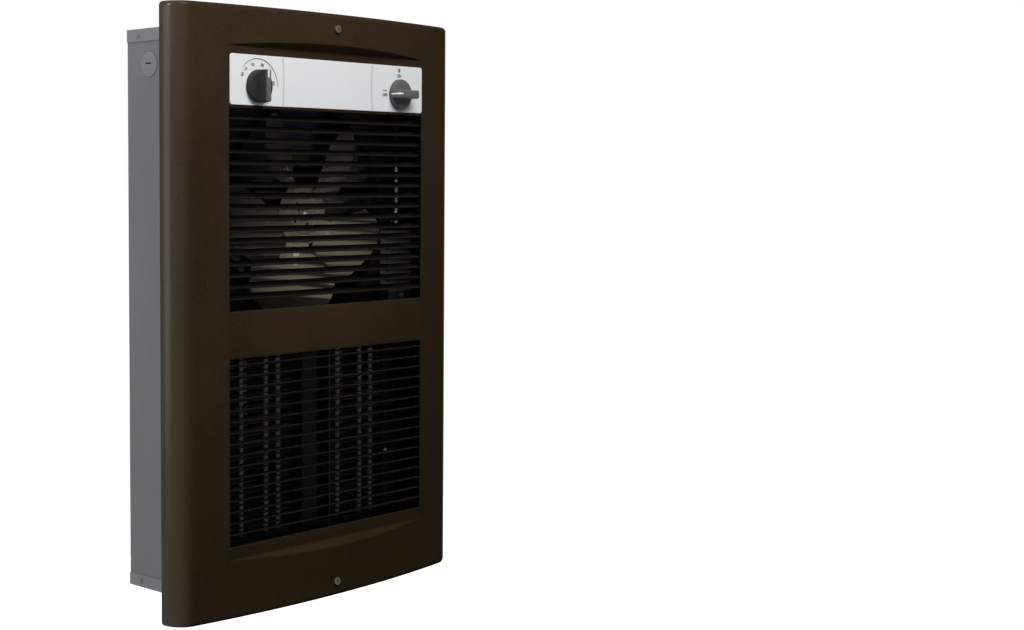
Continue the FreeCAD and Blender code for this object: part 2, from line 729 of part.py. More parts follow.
def hat_bracket(name, half, feet, web, lift, height, z):
    """A strip bent to a hat: two feet, two legs and a web that lies off the feet on lift's side."""
    foot, sheet_in = f"({feet} + {lift} * bracket_sheet)", f"({web} - {lift} * bracket_sheet)"
    half_run = [
        (f"{half} + bracket_foot", feet),
        (f"{half} + bracket_foot", foot),
        (half, foot),
        (half, web),
    ]
    inner_run = [(f"({half} - bracket_sheet)", sheet_in), (f"({half} - bracket_sheet)", feet)]
    left = [(f"-({x})", y) for x, y in half_run]
    right = half_run[::-1]
    inside = inner_run[::-1] + [(f"-{x}", y) for x, y in inner_run]
    return place(padded(name, "XY", height, left + right + inside), z=f"{z} - {height} / 2")


def control_bracket():
    strip = hat_bracket("control_strip", BRACKET_X, DECK, BRACKET, -1, "control_bracket_height", KNOB_Z)
    through = (f"{BRACKET} - overrun", f"{BRACKET_BACK} + overrun")
    feet = (f"{DECK} - bracket_sheet - overrun", f"{DECK} + overrun")
    neck = "bushing_radius + running_fit"
    holes = [rod("bushing_hole", "y", neck, through, x=f"{side} * {KNOB_X}", z=KNOB_Z) for side in SIDES]
    for x, z in CONTROL_FEET:
        holes.append(rod("control_foot_hole", "y", SCREW_HOLE, feet, x=x, z=z))
    node("control_bracket", cut("control_bracket", strip, *holes))


def control_nuts():
    made = []
    for side in SIDES:
        x = f"{side} * {KNOB_X}"
        corners = []
        for k in range(6):
            turn = 60 * k
            corners.append((f"{x} + nut_radius * cos({turn})", f"{KNOB_Z} + nut_radius * sin({turn})"))
        hole = ("bushing_radius + running_fit", x, KNOB_Z)
        made.append(place(padded("control_nut", "XZ", "nut_thickness", corners, [hole]), y=BRACKET))
    node("control_nuts", group("control_nuts", *made))


def bracket_screws():
    seat, length = f"({DECK} - bracket_sheet)", "(bracket_sheet + deck_sheet + screw_tip)"
    made = [screw("bracket_screw", x, seat, z, length) for x, z in CONTROL_FEET]
    node("bracket_screws", group("bracket_screws", *made))


def thermostat_bulb():
    ends = (BULB_LOW, BULB_TOP)
    node("thermostat_bulb", rod("thermostat_bulb", "z", "bulb_radius", ends, x=BULB_X, y=WALL))


def bulb_clips():
    made = []
    wide = (f"{BULB_X} - clip_width / 2", f"{BULB_X} + clip_width / 2")
    for z in (f"{BULB_LOW} + clip_inset", f"{BULB_TOP} - clip_inset"):
        tall = (f"{z} - clip_height / 2", f"{z} + clip_height / 2")
        post = block("clip_post", wide, (f"{WALL} - bulb_radius - clip_wall", DECK), tall)
        through = (f"{tall[0]} - overrun", f"{tall[1]} + overrun")
        seat = rod("clip_seat", "z", "bulb_radius + running_fit", through, x=BULB_X, y=WALL)
        made.append(cut("bulb_clip", post, seat))
    node("bulb_clips", group("bulb_clips", *made))


def elbow(name, radius, bend, angle, x, y, z, turn):
    """A bend of round tube."""
    item = doc.addObject("Part::Torus", name)
    bind(item, "Radius1", bend)
    bind(item, "Radius2", radius)
    item.Angle3 = angle
    return place(item, x, y, z, turn)


def thermostat_capillary():
    """A thin tube from the bulb up, across above the control bracket and down into the thermostat."""
    upright = FreeCAD.Rotation(FreeCAD.Vector(1, 0, 0), 90)
    quarter = upright * FreeCAD.Rotation(FreeCAD.Vector(0, 0, 1), 90)
    size, bend = "capillary_radius", "capillary_bend"
    run_z = f"({KNOB_Z} + capillary_rise)"
    bend_z = f"({run_z} - {bend})"
    right, left = f"({BULB_X} - {bend})", f"({bend} - {KNOB_X})"
    drop = (f"{KNOB_Z} + thermostat_height / 2", bend_z)
    pieces = [
        rod("capillary_rise_run", "z", size, (BULB_TOP, bend_z), x=BULB_X, y=WALL),
        elbow("capillary_right_bend", size, bend, 90, right, WALL, bend_z, upright),
        rod("capillary_cross_run", "x", size, (left, right), y=WALL, z=run_z),
        elbow("capillary_left_bend", size, bend, 90, left, WALL, bend_z, quarter),
        rod("capillary_drop_run", "z", size, drop, x=f"-{KNOB_X}", y=WALL),
    ]
    node("thermostat_capillary", fuse("thermostat_capillary", *pieces))


def fan_deck():
    """The plate that carries the fan and the controls, with a lipped round orifice and side flanges."""
    tall = (DECK_LOW, DECK_TOP)
    pieces = [block("deck_plate", (f"-{SIDE_IN}", SIDE_IN), (DECK, DECK_BACK), tall)]
    for side in SIDES:
        wide = (f"{side} * {SIDE_IN}", f"{side} * ({SIDE_IN} - deck_sheet)")
        pieces.append(block("deck_flange", wide, (f"{DECK} - deck_flange", DECK), tall))
    lip = (f"{DECK} - orifice_lip", DECK)
    pieces.append(rod("orifice_lip", "y", f"{ORIFICE} + deck_sheet", lip, z=FAN_Z))
    through = (f"{DECK} - orifice_lip - overrun", f"{DECK_BACK} + overrun")
    holes = [rod("orifice", "y", ORIFICE, through, z=FAN_Z)]
    for x, z in CONTROL_FEET + MOTOR_FEET + WIRING_SCREWS + [GROUND_SCREW]:
        holes.append(rod("deck_screw_hole", "y", SCREW_HOLE, through, x=x, z=z))
    for side, y, z in DECK_SCREWS:
        holes.append(side_hole("deck_flange_hole", side, SCREW_HOLE, y, z))
    node("fan_deck", cut("fan_deck", fuse("deck_folded", *pieces), *holes))


def deck_screws():
    made = [side_screw("deck_screw", *spot, "deck_sheet") for spot in DECK_SCREWS]
    node("deck_screws", group("deck_screws", *made))


def air_baffle():
    """The shelf between the deck and the element frame that keeps warm air from the intake."""
    half = f"({SIDE_IN} - frame_sheet - overrun)"
    wide, deep = (f"-{half}", half), (f"{FLAT_BACK} + baffle_gap", DECK_BACK)
    shelf = block("baffle_shelf", wide, deep, (FRAME_TOP, DECK_LOW))
    behind = (FRAME_BACK, f"{FRAME_BACK} + deck_sheet")
    lip = block("baffle_lip", wide, behind, (f"{FRAME_TOP} - baffle_flange", DECK_LOW))
    node("air_baffle", fuse("air_baffle", shelf, lip))


def blade_places():
    """The turn of each blade about the fan's axis, after its pitch about its own radius."""
    pitch = FreeCAD.Rotation(FreeCAD.Vector(0, 0, 1), sheet.blade_pitch)
    count = int(sheet.blade_count)
    for k in range(count):
        angle = sheet.blade_first_angle + 360 * k / count - 90
        yield FreeCAD.Rotation(FreeCAD.Vector(0, -1, 0), angle) * pitch


def on_fan(item, turn):
    return place(item, 0, f"{HUB} + hub_sheet", FAN_Z, turn)


BLADE_RIVETS = ("(blade_root + fan_rivet_inset)", "(arm_reach - fan_rivet_inset)")


def fan_hub():
    """A spider: a disc with a raised ring and a boss, and an arm for each blade."""
    nose = f"({HUB} - motor_shaft_nose)"
    raised = (f"{HUB} - hub_ring_height", HUB)
    ring = rod("hub_ring_out", "y", "hub_ring_radius + hub_ring_width / 2", raised, z=FAN_Z)
    inner = rod("hub_ring_in", "y", "hub_ring_radius - hub_ring_width / 2", raised, z=FAN_Z)
    pieces = [
        rod("hub_disc", "y", "hub_radius", (HUB, f"{HUB} + hub_sheet"), z=FAN_Z),
        rod("hub_boss", "y", "hub_boss_radius", (nose, f"{nose} + hub_boss_length"), z=FAN_Z),
        cut("hub_ring", ring, inner),
    ]
    wide, tall = ("(-arm_width / 2)", "(arm_width / 2)"), ("arm_root", "arm_reach")
    corners = [(wide[0], tall[0]), (wide[1], tall[0]), (wide[1], tall[1]), (wide[0], tall[1])]
    holes = [("fan_rivet_radius + running_fit", 0, radius) for radius in BLADE_RIVETS]
    for turn in blade_places():
        pieces.append(on_fan(padded("fan_arm", "XZ", "hub_sheet", corners, holes), turn))
    through = (f"{HUB} - hub_boss_length", f"{HUB} + hub_boss_length")
    bore = rod("hub_bore", "y", MOTOR_BORE, through, z=FAN_Z)
    node("fan_hub", cut("fan_hub", fuse("hub_solid", *pieces), bore))


def fan_blades():
    """Pitched paddles with round tips, each riveted to the back of its arm."""
    chord, root = "blade_chord / 2", "blade_root_width / 2"
    tip = "sqrt(fan_radius ^ 2 - (blade_chord / 2 - blade_tip_rounding) ^ 2)"
    corners = [
        (f"-{root}", "blade_root"),
        (root, "blade_root"),
        (chord, "blade_shoulder"),
        (chord, tip),
        (f"-{chord}", tip),
        (f"-{chord}", "blade_shoulder"),
    ]
    holes = [("fan_rivet_radius + running_fit", 0, radius) for radius in BLADE_RIVETS]
    made = []
    for turn in blade_places():
        blade = padded("fan_blade", "XZ", "blade_sheet", corners, holes, back=True)
        outer = sheet.blade_shoulder + sheet.ease
        rounded(blade, "blade_tip_rounding", lambda edge: along_y(edge) and edge.BoundBox.ZMin > outer)
        made.append(on_fan(blade, turn))
    node("fan_blades", group("fan_blades", *made))


def fan_rivets():
    made = []
    front, back = "(-hub_sheet)", "blade_sheet"
    spans = (
        ("fan_rivet_head_radius", f"{front} - fan_rivet_head_height", "fan_rivet_head_height"),
        ("fan_rivet_radius", front, f"{back} - {front}"),
        ("fan_rivet_head_radius", back, "fan_rivet_head_height"),
    )
    for turn in blade_places():
        for radius in BLADE_RIVETS:
            body = doc.addObject("PartDesign::Body", "fan_rivet")
            for size, start, length in spans:
                step = body.newObject("PartDesign::AdditiveCylinder", "fan_rivet_step")
                bind(step, "Radius", size)
                bind(step, "Height", length)
                place(step, 0, start, radius, AXES["y"])
            made.append(on_fan(body, turn))
    node("fan_rivets", group("fan_rivets", *made))


def motor_bolt_places():
    return [f"({side} * motor_bolt_spacing / 2)" for side in SIDES]


def motor_bolt_holes(name, ends):
    radius = "motor_bolt_radius + running_fit"
    return [rod(name, "y", radius, ends, x=x, z=FAN_Z) for x in motor_bolt_places()]


def motor_bracket():
    strip = hat_bracket("motor_strip", MOTOR_FOOT_X, DECK_BACK, WEB_BACK, 1, "motor_bracket_height", FAN_Z)
    through = (f"{WEB} - overrun", f"{WEB_BACK} + overrun")
    feet = (f"{DECK_BACK} - overrun", f"{DECK_BACK} + bracket_sheet + overrun")
    holes = [rod("web_shaft_hole", "y", "shaft_hole_radius", through, z=FAN_Z)]
    holes += motor_bolt_holes("web_bolt_hole", through)
    for x, z in MOTOR_FEET:
        holes.append(rod("motor_foot_hole", "y", SCREW_HOLE, feet, x=x, z=z))
    node("motor_bracket", cut("motor_bracket", strip, *holes))


def motor_bracket_screws():
    length = "(deck_sheet + bracket_sheet + screw_tip)"
    made = [screw("motor_foot_screw", x, DECK, z, length) for x, z in MOTOR_FEET]
    node("motor_bracket_screws", group("motor_bracket_screws", *made))


def motor_bearing(name, bar_from, inward):
    """A bar with a bearing boss and two posts that stand on the stator."""
    bar_to = f"({bar_from} + {inward} * bearing_bar)"
    post_to = f"({bar_to} + {inward} * bearing_post)"
    boss_to = f"({bar_from} + {inward} * bearing_boss_length)"
    half = "(motor_bolt_spacing / 2 + bearing_post_radius)"
    tall = (f"{FAN_Z} - bearing_height / 2", f"{FAN_Z} + bearing_height / 2")
    pieces = [
        block(f"{name}_bar", (f"-{half}", half), (bar_from, bar_to), tall),
        rod(f"{name}_boss", "y", "bearing_boss_radius", (bar_from, boss_to), z=FAN_Z),
    ]
    for x in motor_bolt_places():
        pieces.append(rod(f"{name}_post", "y", "bearing_post_radius", (bar_to, post_to), x=x, z=FAN_Z))
    through = (f"{bar_from} - {inward} * overrun", f"{post_to} + {inward} * overrun")
    holes = [rod(f"{name}_bore", "y", MOTOR_BORE, through, z=FAN_Z)]
    holes += motor_bolt_holes(f"{name}_bolt_hole", through)
    node(name, cut(name, fuse(f"{name}_cast", *pieces), *holes))


def stator_leg(name, grow):
    """The part of the stator that the coil goes round, grown by a clearance."""
    half, low = f"(stator_width / 2 + {grow})", f"({FAN_Z} - stator_low)"
    deep = (f"{STATOR} - {grow}", f"{STATOR_BACK} + {grow}")
    return block(name, (f"-{half}", half), deep, (f"{low} - {grow}", f"{low} + stator_leg + {grow}"))


def motor_stator():
    low = f"({FAN_Z} - stator_low)"
    wide = ("-stator_width / 2", "stator_width / 2")
    stack = block("stator_stack", wide, (STATOR, STATOR_BACK), (low, f"{FAN_Z} + stator_top"))
    through = (f"{STATOR} - overrun", f"{STATOR_BACK} + overrun")
    bore = rod("stator_bore", "y", "rotor_radius + rotor_gap", through, z=FAN_Z)
    half, sill = "(coil_width / 2 + ease)", f"{low} + stator_leg"
    gap = block("stator_window", (f"-{half}", half), through, (sill, f"{sill} + coil_wall + 2 * ease"))
    bolts = motor_bolt_holes("stator_bolt_hole", through)
    node("motor_stator", cut("motor_stator", stack, bore, gap, *bolts))


def motor_coil():
    low = f"({FAN_Z} - stator_low)"
    wound = block(
        "coil_block",
        ("-coil_width / 2", "coil_width / 2"),
        (f"{STATOR} - coil_wall", f"{STATOR_BACK} + coil_wall"),
        (f"{low} - coil_wall", f"{low} + stator_leg + coil_wall"),
    )
    node("motor_coil", cut("motor_coil", wound, stator_leg("coil_core", "running_fit")))


def motor_rotor():
    core = rod("rotor_core", "y", "rotor_radius", (STATOR, STATOR_BACK), z=FAN_Z)
    through = (f"{STATOR} - overrun", f"{STATOR_BACK} + overrun")
    bore = rod("rotor_bore", "y", MOTOR_BORE, through, z=FAN_Z)
    node("motor_rotor", cut("motor_rotor", core, bore))


def motor_shaft():
    ends = (f"{HUB} - motor_shaft_nose - ease", f"{MOTOR_END} - ease")
    node("motor_shaft", rod("motor_shaft", "y", "motor_shaft_radius", ends, z=FAN_Z))


def motor_bolts():
    length = f"({MOTOR_END} - {WEB})"
    made = [screw("motor_bolt", x, WEB, FAN_Z, length, "motor_bolt_radius") for x in motor_bolt_places()]
    node("motor_bolts", group("motor_bolts", *made))


ELEMENTS = {"left": f"(-{ELEMENT_OUT})", "right": "element_inset"}


def legs(start):
    """The upright runs of an element's tube: the second one stands in the rear row."""
    front, rear = f"({WALL} + leg_front_setback)", f"({WALL} + leg_rear_setback)"
    rows = (front, rear, front, front)
    return [(f"({start} + leg_inset + {k} * leg_pitch)", y) for k, y in enumerate(rows)]


BEND_TOP = f"({SHELF_TOP} + frame_sheet + ease)"
BEND_LOW = f"({SHELF_LOW} - frame_sheet - ease)"
TUBE_TOP = f"({SHELF_TOP} + frame_sheet + element_bushing_height + overrun)"


def return_bend(name, one, other, deep, level, up):
    """A half turn of tube from one upright run to another, above or below them."""
    slant = math.degrees(math.atan2(deep, sheet.leg_pitch))
    upright = FreeCAD.Rotation(FreeCAD.Vector(1, 0, 0), 90 * up)
    turn = FreeCAD.Rotation(FreeCAD.Vector(0, 0, 1), slant) * upright
    bend = f"(sqrt(leg_pitch ^ 2 + (({one[1]}) - ({other[1]})) ^ 2) / 2)"
    x, y = (f"({a} + {b}) / 2" for a, b in zip(one, other))
    return elbow(name, "tube_radius", bend, 180, x, y, level, turn)


def element_tube(name, start):
    """A sheathed heating rod bent to and fro, with a terminal pin at each end."""
    spots = legs(start)
    step = sheet.leg_rear_setback - sheet.leg_front_setback
    pieces = []
    for k, (x, y) in enumerate(spots):
        outer = k in (0, len(spots) - 1)
        top = TUBE_TOP if outer else BEND_TOP
        pieces.append(rod(f"{name}_leg", "z", "tube_radius", (BEND_LOW, top), x=x, y=y))
        if outer:
            pin = (TUBE_TOP, f"{TUBE_TOP} + pin_length")
            pieces.append(rod(f"{name}_pin", "z", "pin_radius", pin, x=x, y=y))
    pieces.append(return_bend(f"{name}_low_bend", spots[0], spots[1], step, BEND_LOW, -1))
    pieces.append(return_bend(f"{name}_top_bend", spots[1], spots[2], -step, BEND_TOP, 1))
    pieces.append(return_bend(f"{name}_end_bend", spots[2], spots[3], 0, BEND_LOW, -1))
    node(name, fuse(name, *pieces))


def element_fins(name, start):
    """Flat fins across an element's tube, all alike."""
    end, front, back = f"({start} + element_width)", WALL, f"({WALL} + fin_depth)"
    corners = [(start, front), (end, front), (end, back), (start, back)]
    holes = [("tube_radius + running_fit", x, y) for x, y in legs(start)]
    body = padded(name, "XY", "fin_sheet", corners, holes)
    body.AllowCompound = True
    doc.recompute()
    rows = body.newObject("PartDesign::LinearPattern", f"{name}_rows")
    rows.Originals = [body.Tip]
    rows.Direction = (next(f for f in body.Origin.OriginFeatures if f.Role == "Z_Axis"), [""])
    bind(rows, "Length", f"{FIN_TOP} - {FIN_LOW} - fin_sheet")
    bind(rows, "Occurrences", "fin_count")
    body.Tip = rows
    node(name, place(body, z=FIN_LOW))


def element_frame():
    """A face plate with two windows, with shelves that carry the tubes and with side flanges."""
    wide, tall = (f"-{SIDE_IN}", SIDE_IN), (FRAME_LOW, FRAME_TOP)
    pieces = [block("frame_face", wide, (FRAME, FRAME_BACK), tall)]
    for side in SIDES:
        edge = (f"{side} * {SIDE_IN}", f"{side} * ({SIDE_IN} - frame_sheet)")
        pieces.append(block("frame_flange", edge, (FRAME, f"{FRAME} + frame_flange"), tall))
    shelf = (f"-{WINDOW_X}", WINDOW_X), (FRAME, f"{FRAME} + frame_shelf")
    pieces.append(block("frame_top_shelf", *shelf, (SHELF_TOP, f"{SHELF_TOP} + frame_sheet")))
    pieces.append(block("frame_low_shelf", *shelf, (SHELF_LOW, f"{SHELF_LOW} - frame_sheet")))
    cuts = []
    window = (f"{LOWER_LOW} - window_low_lap", f"{LOWER_TOP} - window_top_lap")
    for side in SIDES:
        span = (f"{side} * frame_post / 2", f"{side} * {WINDOW_X}")
        cuts.append(block("frame_window", span, (f"{FRAME} - overrun", FRAME_BACK), window))
    ends = (f"{SHELF_LOW} - frame_sheet - overrun", f"{SHELF_TOP} + frame_sheet + overrun")
    for start in ELEMENTS.values():
        for x, y in legs(start):
            cuts.append(rod("frame_leg_hole", "z", "tube_radius + running_fit", ends, x=x, y=y))
    through = (f"{FRAME} - overrun", f"{FRAME_BACK} + overrun")
    cuts.append(rod("limit_screw_hole", "y", SCREW_HOLE, through, x=LIMIT_X, z=LIMIT_Z))
    for side, y, z in FRAME_SCREWS:
        cuts.append(side_hole("frame_flange_hole", side, SCREW_HOLE, y, z))
    node("element_frame", cut("element_frame", fuse("frame_folded", *pieces), *cuts))


def frame_screws():
    made = [side_screw("frame_screw", *spot, "frame_sheet") for spot in FRAME_SCREWS]
    node("frame_screws", group("frame_screws", *made))


def element_bushings():
    made = []
    seat = f"({SHELF_TOP} + frame_sheet)"
    top = f"({seat} + element_bushing_height)"
    through = (f"{seat} - overrun", f"{top} + overrun")
    for start in ELEMENTS.values():
        spots = legs(start)
        for x, y in (spots[0], spots[-1]):
            ring = rod("bushing_ring", "z", "element_bushing_radius", (seat, top), x=x, y=y)
            bore = rod("bushing_bore", "z", "tube_radius + running_fit", through, x=x, y=y)
            made.append(cut("element_bushing", ring, bore))
    node("element_bushings", group("element_bushings", *made))


def limit_switch():
    """A round cutout on a tab that is screwed to the back of the element frame."""
    far = f"({LIMIT_X} + limit_reach)"
    tab = block(
        "limit_tab",
        (f"{WINDOW_X} + ease", far),
        (FRAME_BACK, f"{FRAME_BACK} + frame_sheet"),
        (f"{LIMIT_Z} - limit_tab / 2", f"{LIMIT_Z} + limit_tab / 2"),
    )
    can = rod("limit_can", "y", "limit_radius", (FRAME_BACK, f"{FRAME_BACK} + limit_depth"), x=far, z=LIMIT_Z)
    through = (f"{FRAME_BACK} - overrun", f"{FRAME_BACK} + limit_depth")
    hole = rod("limit_tab_hole", "y", SCREW_HOLE, through, x=LIMIT_X, z=LIMIT_Z)
    node("limit_switch", cut("limit_switch", fuse("limit_solid", tab, can), hole))


def limit_screw():
    length = "(2 * frame_sheet + screw_tip)"
    node("limit_screw", screw("limit_screw", LIMIT_X, FRAME, LIMIT_Z, length, head="limit_screw_head_radius"))


def terminal_block():
    front = f"({DECK} - terminal_depth)"
    wide = (f"{WIRING_X} - terminal_width / 2", f"{WIRING_X} + terminal_width / 2")
    tall = (f"{WIRING_Z} - terminal_height / 2", f"{WIRING_Z} + terminal_height / 2")
    case = block("terminal_case", wide, (front, DECK), tall)
    ends = (f"{front} - overrun", f"{front} + terminal_screw_length + ease")
    size = "terminal_screw_radius + running_fit"
    holes = [rod("terminal_hole", "y", size, ends, x=x, z=z) for x, z in TERMINALS]
    node("terminal_block", cut("terminal_block", case, *holes))


def terminal_screws():
    made = []
    for x, z in TERMINALS:
        made.append(screw(
            "terminal_screw", x, f"({DECK} - terminal_depth)", z, "terminal_screw_length",
            "terminal_screw_radius", "terminal_screw_head_radius", "terminal_screw_head_height",
        ))
    node("terminal_screws", group("terminal_screws", *made))


def ground_screw():
    x, z = GROUND_SCREW
    node("ground_screw", screw("ground_screw", x, DECK, z, "(deck_sheet + screw_tip)"))


def wiring_cover():
    """A bare box over the supply terminals, open at the back against the deck."""
    box = block("wiring_box", (WIRING_IN, WIRING_OUT), (WALL, DECK), (WIRING_LOW, WIRING_TOP))
    inside = block(
        "wiring_inside",
        (f"{WIRING_IN} + wiring_sheet", f"{WIRING_OUT} - wiring_sheet"),
        (f"{WALL} + wiring_sheet", f"{DECK} + overrun"),
        (f"{WIRING_LOW} + wiring_sheet", f"{WIRING_TOP} - wiring_sheet"),
    )
    through = (f"{WALL} - overrun", DECK)
    holes = [rod("wiring_hole", "y", SCREW_HOLE, through, x=x, z=z) for x, z in WIRING_SCREWS]
    node("wiring_cover", cut("wiring_cover", box, inside, *holes))


def wiring_cover_screws():
    length = "(deck_setback + deck_sheet + screw_tip)"
    made = [screw("wiring_screw", x, WALL, z, length) for x, z in WIRING_SCREWS]
    node("wiring_cover_screws", group("wiring_cover_screws", *made))


def build():
    can_wrapper()
    can_cap("can_top_cap", 1)
    can_cap("can_bottom_cap", -1)
    cap_rivets()
    front_cover()
    louvre_panel("upper_grille", UPPER_LOW, UPPER_TOP, UPPER_BARS, "upper_louvre_tilt", rib=False)
    louvre_panel("lower_grille", LOWER_LOW, LOWER_TOP, LOWER_BARS, "-lower_louvre_tilt", rib=True)
    cover_screws()
    control_plate()
    knob("thermostat_knob", f"(-{KNOB_X})", upright=True)
    knob("selector_knob", KNOB_X, upright=False)
    control_shaft("thermostat_shaft", f"(-{KNOB_X})")
    control_shaft("selector_shaft", KNOB_X)
    control_body("thermostat_body", f"(-{KNOB_X})", "thermostat_width", "thermostat_height")
    control_body("selector_switch", KNOB_X, "selector_width", "selector_height")
    control_bracket()
    control_nuts()
    bracket_screws()
    thermostat_bulb()
    bulb_clips()
    thermostat_capillary()
    fan_deck()
    deck_screws()
    air_baffle()
    fan_hub()
    fan_blades()
    fan_rivets()
    motor_shaft()
    motor_rotor()
    motor_stator()
    motor_coil()
    motor_bearing("motor_front_bearing", WEB_BACK, 1)
    motor_bearing("motor_rear_bearing", MOTOR_END, -1)
    motor_bolts()
    motor_bracket()
    motor_bracket_screws()
    element_frame()
    frame_screws()
    for side, start in ELEMENTS.items():
        element_tube(f"{side}_element_tube", start)
        element_fins(f"{side}_element_fins", start)
    element_bushings()
    limit_switch()
    limit_screw()
    terminal_block()
    terminal_screws()
    ground_screw()
    wiring_cover()
    wiring_cover_screws()


def faults():
    """Objects that failed to compute and pieces without a sound shape."""
    found = [item.Name for item in doc.Objects if {"Invalid", "Error"} & set(item.State)]
    for item in nodes:
        shape = item.Shape
        if shape.isNull() or not shape.isValid() or not shape.Solids:
            found.append(item.Label)
    return found


build()
doc.recompute()
failed = faults()
if failed:
    raise SystemExit(f"not built: {failed}")
os.makedirs("parts", exist_ok=True)
for item in nodes:
    item.Shape.exportStep(f"parts/{item.Label}.step")
    print(f"{item.Label}: {len(item.Shape.Solids)} solids, {item.Shape.Volume:.0f} mm3")
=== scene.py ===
"""The looks of a wall-mounted heater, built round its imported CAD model, in metres."""
import math

import bmesh
import bpy
from mathutils import Matrix, Vector


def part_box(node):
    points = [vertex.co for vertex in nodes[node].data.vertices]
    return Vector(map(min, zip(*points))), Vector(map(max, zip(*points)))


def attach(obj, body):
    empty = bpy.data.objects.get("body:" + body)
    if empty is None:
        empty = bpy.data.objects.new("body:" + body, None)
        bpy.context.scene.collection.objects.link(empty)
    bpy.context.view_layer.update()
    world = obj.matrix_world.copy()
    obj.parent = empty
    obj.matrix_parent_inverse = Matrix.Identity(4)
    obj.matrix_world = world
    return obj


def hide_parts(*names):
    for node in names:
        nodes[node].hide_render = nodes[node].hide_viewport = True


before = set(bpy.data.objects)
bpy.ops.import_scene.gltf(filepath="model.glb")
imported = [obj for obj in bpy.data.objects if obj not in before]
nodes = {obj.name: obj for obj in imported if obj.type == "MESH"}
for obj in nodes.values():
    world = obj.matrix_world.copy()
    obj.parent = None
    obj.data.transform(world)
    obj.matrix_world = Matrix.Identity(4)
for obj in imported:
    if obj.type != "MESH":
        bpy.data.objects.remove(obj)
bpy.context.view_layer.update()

MM = 0.001


# Shared effects: each is a shader node group with named inputs and outputs

def new_group(name, inputs, outputs):
    """An empty node group with float inputs (name: value) and outputs (name: kind)."""
    group = bpy.data.node_groups.new(name, "ShaderNodeTree")
    for label, value in inputs.items():
        socket = group.interface.new_socket(label, in_out="INPUT", socket_type="NodeSocketFloat")
        socket.default_value = value
    for label, kind in outputs.items():
        group.interface.new_socket(label, in_out="OUTPUT", socket_type=kind)
    return group, group.nodes.new("NodeGroupInput"), group.nodes.new("NodeGroupOutput")


def add(tree, kind, inputs=None, **settings):
    """A node with its settings, and its inputs set to values or linked from sockets."""
    made = tree.nodes.new(kind)
    for label, value in settings.items():
        setattr(made, label, value)
    for label, value in (inputs or {}).items():
        if isinstance(value, bpy.types.NodeSocket):
            tree.links.new(value, made.inputs[label])
        else:
            made.inputs[label].default_value = value
    return made


def maths(tree, operation, first, second=0.0):
    return add(tree, "ShaderNodeMath", {0: first, 1: second}, operation=operation).outputs[0]


def remap(tree, value, low, high, to_low=0.0, to_high=1.0):
    made = add(tree, "ShaderNodeMapRange", {"Value": value, "From Min": low, "From Max": high,
                                            "To Min": to_low, "To Max": to_high})
    return made.outputs["Result"]


# The mix node's socket numbers for colours: its factor, its two colours and its result
MIX_FACTOR, MIX_FIRST, MIX_SECOND, MIX_RESULT = 0, 6, 7, 2


def blend_colour(tree, share, first, second):
    made = add(tree, "ShaderNodeMix", {MIX_FACTOR: share, MIX_FIRST: first, MIX_SECOND: second},
               data_type="RGBA")
    return made.outputs[MIX_RESULT]


def noise(tree, where, scale, detail, rough):
    made = add(tree, "ShaderNodeTexNoise",
               {"Vector": where, "Scale": scale, "Detail": detail, "Roughness": rough})
    return made.outputs["Fac"]


def grain_group():
    """Fine grain and broad cloudiness of a surface, as two masks."""
    group, given, out = new_group("surface_grain", {"Fine": 900.0, "Broad": 14.0},
                                  {"Grain": "NodeSocketFloat", "Cloud": "NodeSocketFloat"})
    where = add(group, "ShaderNodeTexCoord").outputs["Object"]
    grain = noise(group, where, given.outputs["Fine"], 2.0, 0.6)
    cloud = noise(group, where, given.outputs["Broad"], 4.0, 0.5)
    group.links.new(remap(group, grain, 0.28, 0.72), out.inputs["Grain"])
    group.links.new(remap(group, cloud, 0.3, 0.7), out.inputs["Cloud"])
    return group


def wear_group():
    """A mask along outer edges, broken up by noise, and a normal that rounds the edges."""
    group, given, out = new_group("edge_wear", {"Radius": 0.0008, "Breakup": 160.0},
                                  {"Mask": "NodeSocketFloat", "Normal": "NodeSocketVector"})
    round_edge = add(group, "ShaderNodeBevel", {"Radius": given.outputs["Radius"]}, samples=4)
    plain = add(group, "ShaderNodeNewGeometry").outputs["Normal"]
    along = add(group, "ShaderNodeVectorMath", {0: round_edge.outputs["Normal"], 1: plain},
                operation="DOT_PRODUCT")
    edge = remap(group, along.outputs["Value"], 0.985, 0.86)
    where = add(group, "ShaderNodeTexCoord").outputs["Object"]
    broken = remap(group, noise(group, where, given.outputs["Breakup"], 4.0, 0.65), 0.42, 0.66)
    group.links.new(maths(group, "MULTIPLY", edge, broken), out.inputs["Mask"])
    group.links.new(round_edge.outputs["Normal"], out.inputs["Normal"])
    return group


def dust_group():
    """A thin patchy mask on the faces that look up."""
    group, given, out = new_group("settled_dust", {"Patches": 45.0}, {"Mask": "NodeSocketFloat"})
    facing = add(group, "ShaderNodeSeparateXYZ",
                 {0: add(group, "ShaderNodeNewGeometry").outputs["Normal"]}).outputs["Z"]
    where = add(group, "ShaderNodeTexCoord").outputs["Object"]
    patches = remap(group, noise(group, where, given.outputs["Patches"], 5.0, 0.6), 0.35, 0.75)
    group.links.new(maths(group, "MULTIPLY", remap(group, facing, 0.4, 1.0), patches), out.inputs["Mask"])
    return group


